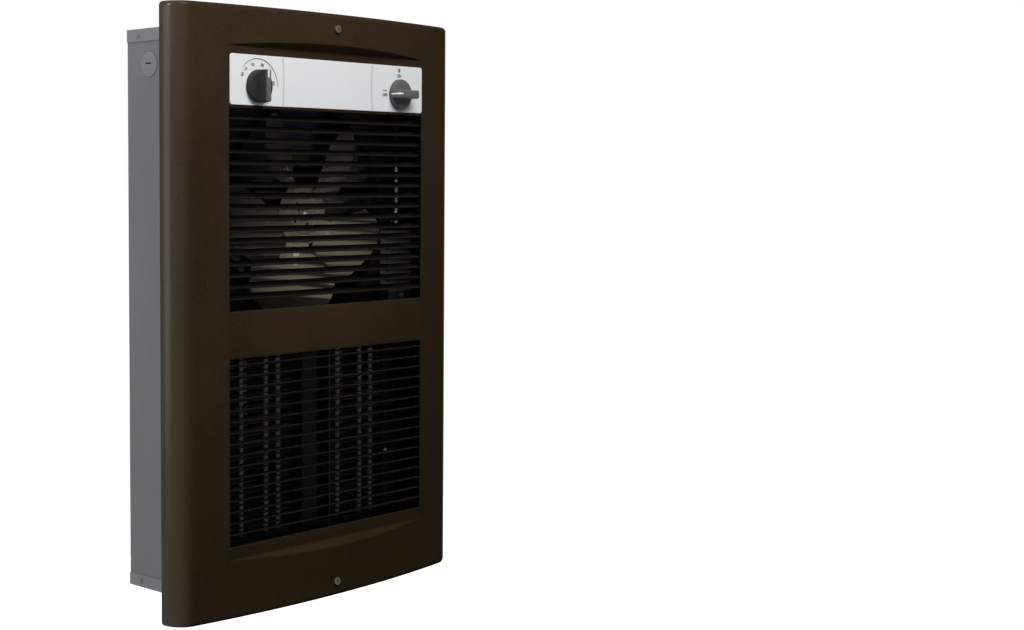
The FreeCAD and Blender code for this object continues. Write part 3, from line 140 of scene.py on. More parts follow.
def spangle_group():
    """The crystal pattern of a zinc coating: flat grains of differing tone with soft borders."""
    group, given, out = new_group("zinc_spangle", {"Size": 150.0},
                                  {"Tone": "NodeSocketFloat", "Border": "NodeSocketFloat"})
    where = add(group, "ShaderNodeTexCoord").outputs["Object"]
    cells = add(group, "ShaderNodeTexVoronoi", {"Vector": where, "Scale": given.outputs["Size"]})
    tone = add(group, "ShaderNodeSeparateColor", {0: cells.outputs["Color"]}).outputs[0]
    edges = add(group, "ShaderNodeTexVoronoi", {"Vector": where, "Scale": given.outputs["Size"]},
                feature="DISTANCE_TO_EDGE")
    group.links.new(tone, out.inputs["Tone"])
    group.links.new(remap(group, edges.outputs["Distance"], 0.0, 0.08), out.inputs["Border"])
    return group


def drawn_group():
    """Fine lines along a drawn or rolled metal, as one mask."""
    group, given, out = new_group("drawn_lines", {"Along": 12.0, "Across": 1400.0},
                                  {"Lines": "NodeSocketFloat"})
    where = add(group, "ShaderNodeTexCoord").outputs["Object"]
    stretch = add(group, "ShaderNodeCombineXYZ", {0: given.outputs["Across"], 1: given.outputs["Across"],
                                                  2: given.outputs["Along"]})
    placed = add(group, "ShaderNodeVectorMath", {0: where, 1: stretch.outputs[0]}, operation="MULTIPLY")
    lines = noise(group, placed.outputs[0], 1.0, 3.0, 0.6)
    group.links.new(remap(group, lines, 0.3, 0.7), out.inputs["Lines"])
    return group


def rubbed_group():
    """A mask on the faces that look sideways, where hands and cloths rub the paint to a shine."""
    group, given, out = new_group("rubbed_sides", {"Patches": 9.0}, {"Mask": "NodeSocketFloat"})
    across = add(group, "ShaderNodeSeparateXYZ",
                 {0: add(group, "ShaderNodeNewGeometry").outputs["Normal"]}).outputs["X"]
    where = add(group, "ShaderNodeTexCoord").outputs["Object"]
    patches = remap(group, noise(group, where, given.outputs["Patches"], 3.0, 0.5), 0.3, 0.7, 0.8, 1.0)
    sides = remap(group, maths(group, "ABSOLUTE", across), 0.3, 0.75)
    group.links.new(maths(group, "MULTIPLY", sides, patches), out.inputs["Mask"])
    return group


GRAIN = grain_group()
WEAR = wear_group()
DUST = dust_group()
SPANGLE = spangle_group()
DRAWN = drawn_group()
RUBBED = rubbed_group()


def place_group(tree, group, **inputs):
    made = tree.nodes.new("ShaderNodeGroup")
    made.node_tree = group
    for label, value in inputs.items():
        made.inputs[label].default_value = value
    return made.outputs


def tint(colour, share):
    """A colour made lighter (share above 1) or darker."""
    return tuple(min(1.0, channel * share) for channel in colour[:3]) + (1.0,)


# Values that all finishes share: tones of grains and lines, the painted glint of flecks, dust, roughness and
# depth of grain

SPANGLE_TONE_SHARE, DRAWN_TONE_SHARE, FLECK_GLINT_SHARE = 0.72, 0.82, 2.6
SPANGLE_GRAIN_SHARE = 0.3
FLECK_START, FLECK_FULL = 0.62, 0.95
DUST_COLOUR = (0.42, 0.4, 0.37, 1.0)
ROUGH_CLOUD_SHARE, ROUGH_HEIGHT_SHARE = 0.6, 0.4
ROUGH_SPREAD = 0.08
RUBBED_ROUGHNESS = 0.24
BUMP_DISTANCE = 0.0002


def finish_material(name, colour, rough, bump, metallic=0.0, specular=0.5, fine=900.0, vary=(0.88, 1.1),
                    fleck=0.0, worn=None, wear=0.0, edge=0.0008, dusty=0.0, pattern=None, side_gloss=0.0):
    """A procedural finish: cloudy colour, grain, worn edges and dust; roughness and bump follow them."""
    made = bpy.data.materials.new(name)
    made.use_nodes = True
    made.diffuse_color = tuple(colour) + (1.0,)
    tree = made.node_tree
    shader = tree.nodes["Principled BSDF"]
    shader.inputs["Metallic"].default_value = metallic
    shader.inputs["Specular IOR Level"].default_value = specular
    grain = place_group(tree, GRAIN, Fine=fine)
    edges = place_group(tree, WEAR, Radius=edge)
    base = blend_colour(tree, grain["Cloud"], tint(colour, vary[0]), tint(colour, vary[1]))
    height = grain["Grain"]
    if pattern == "spangle":
        zinc = place_group(tree, SPANGLE)
        base = blend_colour(tree, zinc["Tone"], base, tint(colour, SPANGLE_TONE_SHARE))
        height = maths(tree, "ADD", maths(tree, "MULTIPLY", height, SPANGLE_GRAIN_SHARE), zinc["Border"])
    if pattern == "drawn":
        lines = place_group(tree, DRAWN)
        base = blend_colour(tree, lines["Lines"], base, tint(colour, DRAWN_TONE_SHARE))
        height = lines["Lines"]
    # Lighter flecks: the paint's metal flakes, their lighter tone a painted glint of the light they catch.
    if fleck:
        glinting_flecks = remap(tree, grain["Grain"], FLECK_START, FLECK_FULL, 0.0, fleck)
        base = blend_colour(tree, glinting_flecks, base, tint(colour, FLECK_GLINT_SHARE))
    if worn:
        bared = maths(tree, "MULTIPLY", edges["Mask"], wear)
        base = blend_colour(tree, bared, base, tuple(worn) + (1.0,))
    if dusty:
        settled = maths(tree, "MULTIPLY", place_group(tree, DUST)["Mask"], dusty)
        base = blend_colour(tree, settled, base, DUST_COLOUR)
    tree.links.new(base, shader.inputs["Base Color"])
    spread = maths(tree, "ADD", maths(tree, "MULTIPLY", grain["Cloud"], ROUGH_CLOUD_SHARE),
                   maths(tree, "MULTIPLY", height, ROUGH_HEIGHT_SHARE))
    tree.links.new(remap(tree, spread, 0.0, 1.0, rough - ROUGH_SPREAD, rough + ROUGH_SPREAD),
                   shader.inputs["Roughness"])
    lift = add(tree, "ShaderNodeBump", {"Strength": bump, "Distance": BUMP_DISTANCE, "Height": height,
                                        "Normal": edges["Normal"]})
    tree.links.new(lift.outputs["Normal"], shader.inputs["Normal"])
    if side_gloss:
        sides = place_group(tree, RUBBED)
        tree.links.new(maths(tree, "MULTIPLY", sides["Mask"], side_gloss), shader.inputs["Coat Weight"])
        shader.inputs["Coat Roughness"].default_value = RUBBED_ROUGHNESS
    return made


STEEL_BARE = (0.42, 0.42, 0.41)
BRONZE = (0.030, 0.0200, 0.0110)
BRONZE_WORN = (0.075, 0.058, 0.042)
KNOB_WORN = (0.12, 0.12, 0.12)

# Finishes by the slot that they fill on the CAD nodes

finishes = {
    "can_paint": finish_material("can_grey_paint", (0.150, 0.152, 0.157), rough=0.5, bump=0.25, specular=0.12,
                                 fine=700.0, vary=(0.95, 1.04), worn=STEEL_BARE, wear=0.35, dusty=0.06),
    "bronze_paint": finish_material("bronze_paint", BRONZE, rough=0.4, bump=0.45, specular=0.0, fine=1100.0,
                                    fleck=0.5, worn=BRONZE_WORN, wear=0.35, edge=0.003, side_gloss=0.4),
    "plate_paint": finish_material("plate_paint", (0.72, 0.73, 0.735), rough=0.36, bump=0.12, specular=0.2,
                                   vary=(0.98, 1.02)),
    "thermostat_plastic": finish_material("knob_black_plastic", (0.0216, 0.0212, 0.0205), rough=0.34,
                                          bump=0.4, specular=0.06, fine=1500.0, worn=KNOB_WORN, wear=0.4),
    "selector_plastic": finish_material("knob_grey_plastic", (0.1025, 0.1074, 0.1099), rough=0.36,
                                        bump=0.4, specular=0.06, fine=1500.0, worn=KNOB_WORN, wear=0.4),
    # Near-black: partly the frame's own dark paint, partly painted shade for the deck deep inside the can.
    "dark_frame": finish_material("dark_sheet_and_shade", (0.008, 0.0075, 0.007), rough=0.55, bump=0.3, specular=0.1,
                                  worn=(0.05, 0.05, 0.05), wear=0.4, dusty=0.03),
    "fan_metal": finish_material("fan_aluminium", (0.29, 0.273, 0.215), rough=0.45, bump=0.3, metallic=0.05,
                                 specular=0.06, pattern="drawn", worn=(0.42, 0.40, 0.33), wear=0.4),
    "fins": finish_material("fin_metal", (0.095, 0.090, 0.078), rough=0.55, bump=0.3, metallic=0.2,
                            specular=0.2, vary=(0.7, 1.2), dusty=0.05),
    "sheath": finish_material("element_sheath", (0.10, 0.088, 0.075), rough=0.45, bump=0.35, metallic=0.5,
                              vary=(0.6, 1.3)),
    "galvanised": finish_material("galvanised_sheet", (0.14, 0.143, 0.146), rough=0.5, bump=0.3, metallic=0.4,
                                  specular=0.2, pattern="spangle", dusty=0.05),
    "fasteners": finish_material("plated_screw", (0.42, 0.41, 0.39), rough=0.34, bump=0.3, metallic=0.9,
                                 vary=(0.75, 1.15)),
    "ground_green": finish_material("ground_screw_green", (0.03, 0.22, 0.07), rough=0.4, bump=0.3),
    "shaft_steel": finish_material("ground_steel", (0.50, 0.50, 0.49), rough=0.25, bump=0.2, metallic=1.0,
                                   pattern="drawn"),
    "laminations": finish_material("core_laminations", (0.20, 0.19, 0.18), rough=0.5, bump=0.5, metallic=0.8,
                                   pattern="drawn"),
    "winding": finish_material("coil_wrap", (0.34, 0.20, 0.07), rough=0.45, bump=0.5, fine=500.0),
    "copper": finish_material("copper_tube", (0.62, 0.45, 0.34), rough=0.3, bump=0.2, metallic=1.0,
                              pattern="drawn", vary=(0.8, 1.1)),
    "clip_plastic": finish_material("clip_plastic", (0.03, 0.03, 0.03), rough=0.5, bump=0.3),
    "switch_plastic": finish_material("switch_plastic", (0.045, 0.042, 0.04), rough=0.42, bump=0.35),
    "bushing_ceramic": finish_material("bushing_ceramic", (0.62, 0.58, 0.50), rough=0.5, bump=0.3,
                                       vary=(0.9, 1.05)),
}

# Finishes of single nodes, and of the pieces that are made below

# The louvres are the cover's bronze in two tones of painted light: the near-black bars are painted shade, the
# lighter noses a painted highlight.
shaded_louvre_paint = finish_material("louvre_painted_shade", (0.0032, 0.0028, 0.0024), rough=0.45, bump=0.4,
                               specular=0.006, fine=1100.0, fleck=0.4, worn=BRONZE_WORN, wear=0.4,
                               edge=0.0006, dusty=0.004)
lit_nose_paint = finish_material("louvre_nose_painted_highlight", (0.0105, 0.0094, 0.0080), rough=0.42, bump=0.4,
                             specular=0.012, fine=1100.0, fleck=0.5, worn=BRONZE_WORN, wear=0.4, edge=0.0007)
wiring_zinc = finish_material("wiring_cover_zinc", (0.24, 0.245, 0.25), rough=0.5, bump=0.3, metallic=0.15,
                              specular=0.25, pattern="spangle", dusty=0.1)
screw_bronze = finish_material("bronze_plated_screw", (0.105, 0.090, 0.076), rough=0.34, bump=0.3,
                               metallic=0.5, specular=0.1, worn=(0.22, 0.2, 0.18), wear=0.6)
# The grip bar's front face in a lighter grey than the knob: partly a lighter face of its own, partly a
# painted highlight of the front light it catches.
lit_bar_face = finish_material("knob_bar_face_highlight", (0.105, 0.105, 0.108), rough=0.4, bump=0.3, specular=0.08,
                           fine=1500.0, worn=(0.16, 0.16, 0.16), wear=0.4)
bulb_nickel = finish_material("nickelled_bulb", (0.42, 0.41, 0.42), rough=0.35, bump=0.2, metallic=0.5,
                              specular=0.4, pattern="drawn")
capillary_dull = finish_material("dull_capillary", (0.05, 0.042, 0.036), rough=0.5, bump=0.3, metallic=0.4,
                                 specular=0.2)
mark_white = finish_material("mark_white", (0.78, 0.78, 0.74), rough=0.45, bump=0.15, specular=0.2,
                             vary=(0.95, 1.0))
print_dark = finish_material("dial_print_dark", (0.035, 0.035, 0.038), rough=0.5, bump=0.1, specular=0.15,
                             vary=(0.8, 1.2))
print_grey = finish_material("dial_print_grey", (0.30, 0.30, 0.31), rough=0.5, bump=0.1, specular=0.15,
                             vary=(0.9, 1.1))
print_pale = finish_material("dial_print_pale", (0.55, 0.56, 0.57), rough=0.45, bump=0.1, specular=0.15,
                             vary=(0.97, 1.02))
can_embossed = finish_material("can_embossed_paint", (0.185, 0.187, 0.192), rough=0.5, bump=0.25,
                               specular=0.12, worn=STEEL_BARE, wear=0.3, vary=(0.95, 1.04))
# Near-black for the pieces that stand for slots and holes: painted shade.
slot_shadow = finish_material("slot_shadow", (0.012, 0.012, 0.012), rough=0.7, bump=0.2, specular=0.05)

node_finishes = {
    "can_top_cap": can_embossed,
    "can_bottom_cap": can_embossed,
    "cap_rivets": finishes["can_paint"],
    "cover_screws": screw_bronze,
    "thermostat_bulb": bulb_nickel,
    "thermostat_capillary": capillary_dull,
    "wiring_cover": wiring_zinc,
}

for name, part in nodes.items():
    for slot in part.material_slots:
        slot.material = node_finishes.get(name) or finishes[slot.material.name.split(".")[0]]


# Building with meshes: sizes are in millimetres until a piece is made

def loft(bm, rings, caps=True):
    """Skin closed rings of points, one after the other, and cap both ends."""
    rows = [[bm.verts.new(Vector(point) * MM) for point in ring] for ring in rings]
    count = len(rows[0])
    for first, second in zip(rows, rows[1:]):
        for k in range(count):
            bm.faces.new((first[k], first[(k + 1) % count], second[(k + 1) % count], second[k]))
    if caps:
        bm.faces.new(rows[0][::-1])
        bm.faces.new(rows[-1])


def make_piece(name, bm, body, finish, crease=35.0):
    """An object from a bmesh, smooth but for its creases, riding on a body."""
    bmesh.ops.recalc_face_normals(bm, faces=bm.faces)
    mesh = bpy.data.meshes.new(name)
    bm.to_mesh(mesh)
    bm.free()
    mesh.shade_smooth()
    mesh.set_sharp_from_angle(angle=math.radians(crease))
    mesh.materials.append(finish)
    made = bpy.data.objects.new(name, mesh)
    bpy.context.scene.collection.objects.link(made)
    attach(made, body)
    return made


def rounded_slab(bm, low, high, rounding):
    """A box between two corners with all its edges rounded."""
    low, high = Vector(low) * MM, Vector(high) * MM
    size = high - low
    place = Matrix.Translation((low + high) / 2) @ Matrix.Diagonal((size.x, size.y, size.z, 1.0))
    made = bmesh.ops.create_cube(bm, size=1.0, matrix=place)
    edges = list({edge for vert in made["verts"] for edge in vert.link_edges})
    bmesh.ops.bevel(bm, geom=edges, offset=rounding * MM, segments=3, affect="EDGES", profile=0.5)


def box_mm(node):
    low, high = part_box(node)
    return Vector(low) / MM, Vector(high) / MM


def full_turn(count):
    """The angles of a number of equal steps round a circle."""
    return [math.tau * k / count for k in range(count)]


def directions(path):
    """The unit direction of a path at each of its points, from one neighbour to the other."""
    behind, ahead = path[:1] + path[:-1], path[1:] + path[-1:]
    return [(Vector(second) - Vector(first)).normalized() for first, second in zip(behind, ahead)]


# The knockout in the can's left side: a low pressed disc, and a thin near-black slab of painted shade for its
# screwdriver slot

KNOCKOUT_Y, KNOCKOUT_Z, KNOCKOUT_RADIUS = -36.0, 264.5, 13.7
KNOCKOUT_PROFILE = [(KNOCKOUT_RADIUS, -0.1), (KNOCKOUT_RADIUS, 0.25), (KNOCKOUT_RADIUS - 0.5, 0.55),
                    (KNOCKOUT_RADIUS - 1.5, 0.62), (KNOCKOUT_RADIUS * 0.5, 0.66)]
SLOT_HALF_LENGTH, SLOT_BOTTOM, SLOT_TOP = 4.6, 0.2, 1.9
SLOT_RISE, SLOT_BACK, SLOT_ROUNDING = 0.72, 0.3, 0.2
KNOCKOUT_STEPS = 72


def press_knockout():
    side = box_mm("can_wrapper")[0].x
    disc = bmesh.new()
    loft(disc, [[(side - rise, KNOCKOUT_Y + radius * math.cos(a), KNOCKOUT_Z + radius * math.sin(a))
                 for a in full_turn(KNOCKOUT_STEPS)] for radius, rise in KNOCKOUT_PROFILE])
    make_piece("knockout_disc", disc, "heater", can_embossed)
    slot = bmesh.new()
    rounded_slab(slot, (side - SLOT_RISE, KNOCKOUT_Y - SLOT_HALF_LENGTH, KNOCKOUT_Z + SLOT_BOTTOM),
                 (side - SLOT_BACK, KNOCKOUT_Y + SLOT_HALF_LENGTH, KNOCKOUT_Z + SLOT_TOP), SLOT_ROUNDING)
    make_piece("knockout_slot", slot, "heater", slot_shadow)


press_knockout()


# The fan hub's pressed bead, and low near-black discs of painted shade for the holes round its boss

HUB_FACE, HUB_Z = -86.0, 103.0
BEAD_PROFILE = [(24.9, -0.1), (24.7, 0.5), (24.1, 1.1), (23.2, 1.45), (22.3, 1.1), (21.7, 0.5), (21.5, -0.1),
                (24.9, -0.1)]
HOLE_PROFILE = [(2.0, -0.1), (2.0, 0.1), (1.7, 0.14), (0.9, 0.1)]
HOLE_COUNT, HOLE_RING, FIRST_HOLE = 4, 14.2, math.radians(35.0)
BEAD_STEPS, HOLE_STEPS = 120, 24


def hub_circle(x, z, radius, rise, count):
    """A circle round a point (x, z), a given rise in front of the hub's face."""
    return [(x + radius * math.cos(a), HUB_FACE - rise, z + radius * math.sin(a)) for a in full_turn(count)]


def press_hub():
    bead = bmesh.new()
    loft(bead, [hub_circle(0.0, HUB_Z, radius, rise, BEAD_STEPS) for radius, rise in BEAD_PROFILE],
         caps=False)
    bmesh.ops.remove_doubles(bead, verts=bead.verts, dist=1e-6)
    make_piece("hub_bead", bead, "fan_rotor", finishes["fan_metal"])
    holes = bmesh.new()
    for turn in full_turn(HOLE_COUNT):
        x = HOLE_RING * math.cos(FIRST_HOLE + turn)
        z = HUB_Z + HOLE_RING * math.sin(FIRST_HOLE + turn)
        loft(holes, [hub_circle(x, z, radius, rise, HOLE_STEPS) for radius, rise in HOLE_PROFILE])
    make_piece("hub_holes", holes, "fan_rotor", slot_shadow)


press_hub()


# Louvre panels, in two tones of painted light: bars in painted shade and noses with a painted highlight

LOUVRE_DEPTH, LOUVRE_THICK, LOUVRE_REAR_ROUNDING = 11.5, 2.2, 0.5
LOUVRE_CREASE, NOSE_FACING = 50.0, -0.55
END_PLATE, END_ROUNDING = 1.2, 0.35
RIB_HALF_WIDTH, RIB_FRONT, RIB_BACK, RIB_ROUNDING = 1.1, 1.0, 4.0, 0.5


def louvre_section():
    """Depth and height offsets round one louvre: a round front nose and a slightly rounded rear edge."""
    half, rear, radius = LOUVRE_DEPTH / 2, LOUVRE_REAR_ROUNDING, LOUVRE_THICK / 2
    nose = [(-half + radius + radius * math.cos(math.radians(a)), radius * math.sin(math.radians(a)))
            for a in range(90, 271, 30)]
    back = [(half - rear, -radius), (half, -radius + rear), (half, radius - rear), (half - rear, radius)]
    return nose + back


def louvre_panel(name, node, bars, low, high, tilt, rib):
    """A louvre panel: tilted bars with round noses between two end plates, and maybe a rib across them."""
    corner, far = box_mm(node)
    bm = bmesh.new()
    lean = math.radians(tilt)
    middle_y = corner.y + LOUVRE_THICK * abs(math.sin(lean)) + math.cos(lean) * LOUVRE_DEPTH / 2
    reach = far.x - END_PLATE
    for k in range(1, bars + 1):
        middle_z = low + (high - low) * k / (bars + 1) + math.sin(lean) * LOUVRE_DEPTH / 2
        loft(bm, [[(x, middle_y + u * math.cos(lean) - v * math.sin(lean),
                    middle_z + u * math.sin(lean) + v * math.cos(lean)) for u, v in louvre_section()]
                  for x in (-reach, -reach / 2, 0.0, reach / 2, reach)])
    for side in (-1.0, 1.0):
        inner, outer = sorted((side * reach, side * far.x))
        rounded_slab(bm, (inner, corner.y, corner.z), (outer, far.y, far.z), END_ROUNDING)
    if rib:
        rounded_slab(bm, (-RIB_HALF_WIDTH, corner.y + RIB_FRONT, corner.z),
                     (RIB_HALF_WIDTH, corner.y + RIB_BACK, far.z), RIB_ROUNDING)
    made = make_piece(name, bm, "heater", shaded_louvre_paint, LOUVRE_CREASE)
    # Faces that look forward, the noses, take the lighter tone: a painted highlight over the bars' painted
    # shade.
    made.data.materials.append(lit_nose_paint)
    for face in made.data.polygons:
        if face.normal.y < NOSE_FACING:
            face.material_index = 1
    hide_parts(node)


louvre_panel("upper_louvres", "upper_grille", bars=17, low=3.01, high=216.5, tilt=25.0, rib=False)
louvre_panel("lower_louvres", "lower_grille", bars=16, low=-246.6, high=-42.4, tilt=-9.0, rib=True)


# Knobs: a domed skirt, a grip bar across it and a white pointer mark

SKIRT_PROFILE = [(17.5, 0.0), (17.45, 1.5), (17.35, 3.2), (17.0, 4.1), (16.3, 4.7), (14.0, 5.3), (9.0, 5.9),
                 (4.0, 6.1)]
BAR_REACH, BAR_ROUNDING, BAR_TOP = 17.3, 1.2, 16.0
BAR_LEVELS = [(3.5, 0.0), (9.0, 0.12), (14.6, 0.3), (15.3, 0.45), (15.75, 0.8), (BAR_TOP, 1.3)]
BAR_CORNER_ANGLES, BAR_END_SHARES = (90, 68, 45, 22), (0.9, 0.4)
BAR_FACE_FACING, BAR_FACE_MARGIN = -0.9, 0.1
KNOB_STEPS, KNOB_CREASE = 96, 40.0
MARK_HALF_HEIGHT, MARK_TOP_SHARE, MARK_SHOULDER_SHARE = 0.2, 0.8, 0.6
THERMOSTAT_MARK = [(8.6, 16.05), (12.0, 16.05), (15.6, 16.05), (16.4, 15.7)]
SELECTOR_MARK = [(-17.5, 3.3), (-17.34, 5.4), (-17.2, 9.5), (-17.05, 14.3), (-16.75, 15.3), (-16.0, 16.0),
                 (-14.0, 16.05), (-11.4, 16.05)]


def knob_point(centre, along, u, w, h):
    """A point of a knob: u along its bar, w across the bar, h out from its back."""
    if along == "Z":
        return (centre.x - w, centre.y - h, centre.z + u)
    return (centre.x + u, centre.y - h, centre.z + w)


def bar_outline(width, inset):
    """The grip bar's outline: straight sides, ends on the skirt's circle, rounded corners."""
    half, reach = width / 2 - inset, BAR_REACH - inset
    corner = math.asin((half - BAR_ROUNDING) / (reach - BAR_ROUNDING))
    straight = math.cos(corner) * (reach - BAR_ROUNDING)
    quarter = [(straight + BAR_ROUNDING * math.cos(math.radians(a)),
                half - BAR_ROUNDING + BAR_ROUNDING * math.sin(math.radians(a))) for a in BAR_CORNER_ANGLES]
    quarter += [(reach * math.cos(corner * share), reach * math.sin(corner * share))
                for share in BAR_END_SHARES]
    end = quarter + [(u, -w) for u, w in quarter[::-1]]
    return end + [(-u, -w) for u, w in end]


def build_knob(name, node, body, slot, along, width):
    """A knob in place of its CAD node; its centre on the back plane is given back for marks and print."""
    low, high = box_mm(node)
    centre = Vector(((low.x + high.x) / 2, high.y, (low.z + high.z) / 2))
    bm = bmesh.new()
    loft(bm, [[knob_point(centre, along, radius * math.cos(a), radius * math.sin(a), h)
               for a in full_turn(KNOB_STEPS)] for radius, h in SKIRT_PROFILE])
    loft(bm, [[knob_point(centre, along, u, w, h) for u, w in bar_outline(width, inset)]
              for h, inset in BAR_LEVELS])
    made = make_piece(name, bm, body, finishes[slot], KNOB_CREASE)
    # The bar's forward faces take the lighter grey, in part a painted highlight.
    made.data.materials.append(lit_bar_face)
    face_level = (centre.y - BAR_TOP + BAR_FACE_MARGIN) * MM
    for face in made.data.polygons:
        if face.normal.y < BAR_FACE_FACING and face.center.y < face_level:
            face.material_index = 1
    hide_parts(node)
    return centre


def pointer_mark(name, body, centre, along, path, width):
    """A raised white line that follows a path of (u, h) points on a knob's bar."""
    edge = width / 2
    top = edge * MARK_TOP_SHARE
    section = [(-edge, -1), (edge, -1), (edge, MARK_SHOULDER_SHARE), (top, 1), (-top, 1),
               (-edge, MARK_SHOULDER_SHARE)]
    rings = []
    for (u, h), run in zip(path, directions(path)):
        out = Vector((-run.y, run.x)) * MARK_HALF_HEIGHT
        rings.append([knob_point(centre, along, u + out.x * side, w, h + out.y * side)
                      for w, side in section])
    bm = bmesh.new()
    loft(bm, rings)
    make_piece(name, bm, body, mark_white)


thermostat_centre = build_knob("thermostat_dial_knob", "thermostat_knob", "thermostat_dial",
                               "thermostat_plastic", along="Z", width=9.0)
pointer_mark("thermostat_pointer", "thermostat_dial", thermostat_centre, along="Z",
             path=THERMOSTAT_MARK, width=2.0)
selector_centre = build_knob("selector_dial_knob", "selector_knob", "selector_dial",
                             "selector_plastic", along="X", width=10.0)
pointer_mark("selector_pointer", "selector_dial", selector_centre, along="X",
             path=SELECTOR_MARK, width=1.9)


# Printing on the control plate, a hair proud of it

plate_low, plate_high = box_mm("control_plate")
PRINT_RISE, PRINT_SINK = 0.06, 0.03
PRINT_FRONT, PRINT_BACK = plate_low.y - PRINT_RISE, plate_low.y + PRINT_SINK
LETTER_SIZE_SHARE, LETTER_BOLD_SHARE, LETTER_HALF_DEPTH = 1.42, 0.05, 0.04
NUMBER_HEIGHT, WORD_HEIGHT = 3.2, 3.3

# The thermostat's scale: an arc that swells from a thin start, and numbers by angle and distance
SCALE_RADIUS, SCALE_START, SCALE_STEP, SCALE_POINTS = 28.9, 140.0, 3.5, 41
SCALE_THIN, SCALE_SWELL, SWELL_LEAD, SWELL_SPAN = 0.10, 0.42, 12.0, 168.0
SCALE_NUMBERS = [("50", 153, 25.0), ("60", 136, 24.3), ("70", 109, 23.1), ("80", 74, 23.1), ("90", 10, 22.8)]

# The plate's upright stripes, by place and bow
STRIPES = [(-75.5, 1.8), (66.5, -1.8)]
STRIPE_STEPS, STRIPE_MARGIN, STRIPE_HALF_WIDTH = 12, 1.0, 0.9

# The selector's marks: two bars over a word above the knob, and a bar over a word at its left
ON_RISE, ON_BAR_RISES, ON_WORD_DROP = 24.4, (4.2, 1.9), 3.2
ON_BAR_HALF_LENGTH, ON_BAR_HALF_WIDTH = 1.9, 0.85
OFF_DISTANCE, OFF_WORD_DROP, OFF_BAR_RISE = 24.2, 1.4, 3.8
OFF_BAR_HALF_LENGTH, OFF_BAR_HALF_WIDTH = 3.4, 0.8


def print_strip(bm, middle, half_widths):
    """A flat strip of print along points (x, z), each with its own half width."""
    rings = []
    for (x, z), run, half in zip(middle, directions(middle), half_widths):
        side = Vector((-run.y, run.x)) * half
        rings.append([(x + side.x * s, y, z + side.y * s) for s, y in
                      ((-1, PRINT_BACK), (1, PRINT_BACK), (1, PRINT_FRONT), (-1, PRINT_FRONT))])
    loft(bm, rings)


def print_bar(bm, x, z, half_length, half_width):
    print_strip(bm, [(x - half_length, z), (x + half_length, z)], [half_width, half_width])


def print_words(bm, text, centre, height, turn=0.0):
    """Plain characters of a given height about a centre (x, z), turned by an angle in degrees."""
    curve = bpy.data.curves.new("print_words", "FONT")
    curve.body = text
    curve.align_x, curve.align_y = "CENTER", "CENTER"
    curve.size = height * LETTER_SIZE_SHARE * MM
    curve.extrude = LETTER_HALF_DEPTH * MM
    curve.offset = height * LETTER_BOLD_SHARE * MM
    holder = bpy.data.objects.new("print_words", curve)
    mesh = bpy.data.meshes.new_from_object(holder)
    upright = Matrix.Rotation(math.radians(-turn), 4, "Y") @ Matrix.Rotation(math.radians(90), 4, "X")
    place = Vector((centre[0], PRINT_FRONT + LETTER_HALF_DEPTH, centre[1])) * MM
    mesh.transform(Matrix.Translation(place) @ upright)
    bm.from_mesh(mesh)
    bpy.data.objects.remove(holder)
    bpy.data.curves.remove(curve)
    bpy.data.meshes.remove(mesh)


def around(centre, radius, degrees):
    angle = math.radians(degrees)
    return (centre.x + radius * math.cos(angle), centre.z + radius * math.sin(angle))


def print_scale(bm):
    sweep = [SCALE_START - SCALE_STEP * k for k in range(SCALE_POINTS)]
    swell = [math.sin(math.pi * (SCALE_START - a + SWELL_LEAD) / SWELL_SPAN) for a in sweep]
    print_strip(bm, [around(thermostat_centre, SCALE_RADIUS, a) for a in sweep],
                [SCALE_THIN + SCALE_SWELL * share for share in swell])
    for number, degrees, distance in SCALE_NUMBERS:
        print_words(bm, number, around(thermostat_centre, distance, degrees), NUMBER_HEIGHT, degrees - 90.0)


def print_stripes(bm):
    low, high = plate_low.z + STRIPE_MARGIN, plate_high.z - STRIPE_MARGIN
    shares = [k / STRIPE_STEPS for k in range(STRIPE_STEPS + 1)]
    for x, bow in STRIPES:
        middle = [(x + bow * math.sin(math.pi * share), low + (high - low) * share) for share in shares]
        print_strip(bm, middle, [STRIPE_HALF_WIDTH] * len(middle))


def print_the_plate():
    dark, grey, pale = bmesh.new(), bmesh.new(), bmesh.new()
    print_scale(dark)
    print_stripes(pale)
    x, z = selector_centre.x, selector_centre.z
    for rise in ON_BAR_RISES:
        print_bar(dark, x, z + ON_RISE + rise, ON_BAR_HALF_LENGTH, ON_BAR_HALF_WIDTH)
    print_words(dark, "ON", (x, z + ON_RISE - ON_WORD_DROP), WORD_HEIGHT)
    print_words(dark, "OFF", (x - OFF_DISTANCE, z - OFF_WORD_DROP), WORD_HEIGHT)
    print_bar(grey, x - OFF_DISTANCE, z + OFF_BAR_RISE, OFF_BAR_HALF_LENGTH, OFF_BAR_HALF_WIDTH)
    make_piece("dial_scale_print", dark, "heater", print_dark)
    make_piece("selector_print", grey, "heater", print_grey)
    make_piece("plate_stripes", pale, "heater", print_pale)


print_the_plate()


# Light, floor and camera

def hang_lamp(data, place, target):
    """A lamp at a place, turned to a target."""
    made = bpy.data.objects.new(data.name, data)
    made.location = place
    made.rotation_euler = (Vector(target) - Vector(place)).to_track_quat("-Z", "Y").to_euler()
    bpy.context.scene.collection.objects.link(made)


def softbox(name, place, size, watts):
    """A wide lamp that faces the heater's middle."""
    data = bpy.data.lights.new(name, "AREA")
    data.shape = "RECTANGLE"
    data.size, data.size_y = size
    data.energy = watts
    hang_lamp(data, place, (0.0, 0.0, 0.0))


def spot(name, place, target, degrees, watts, colour):
    """A narrow lamp that reaches in through the upper louvres."""
    data = bpy.data.lights.new(name, "SPOT")
    data.energy = watts
    data.color = colour
    data.spot_size = math.radians(degrees)
    data.spot_blend = 0.35
    data.shadow_soft_size = 0.06
    hang_lamp(data, place, target)


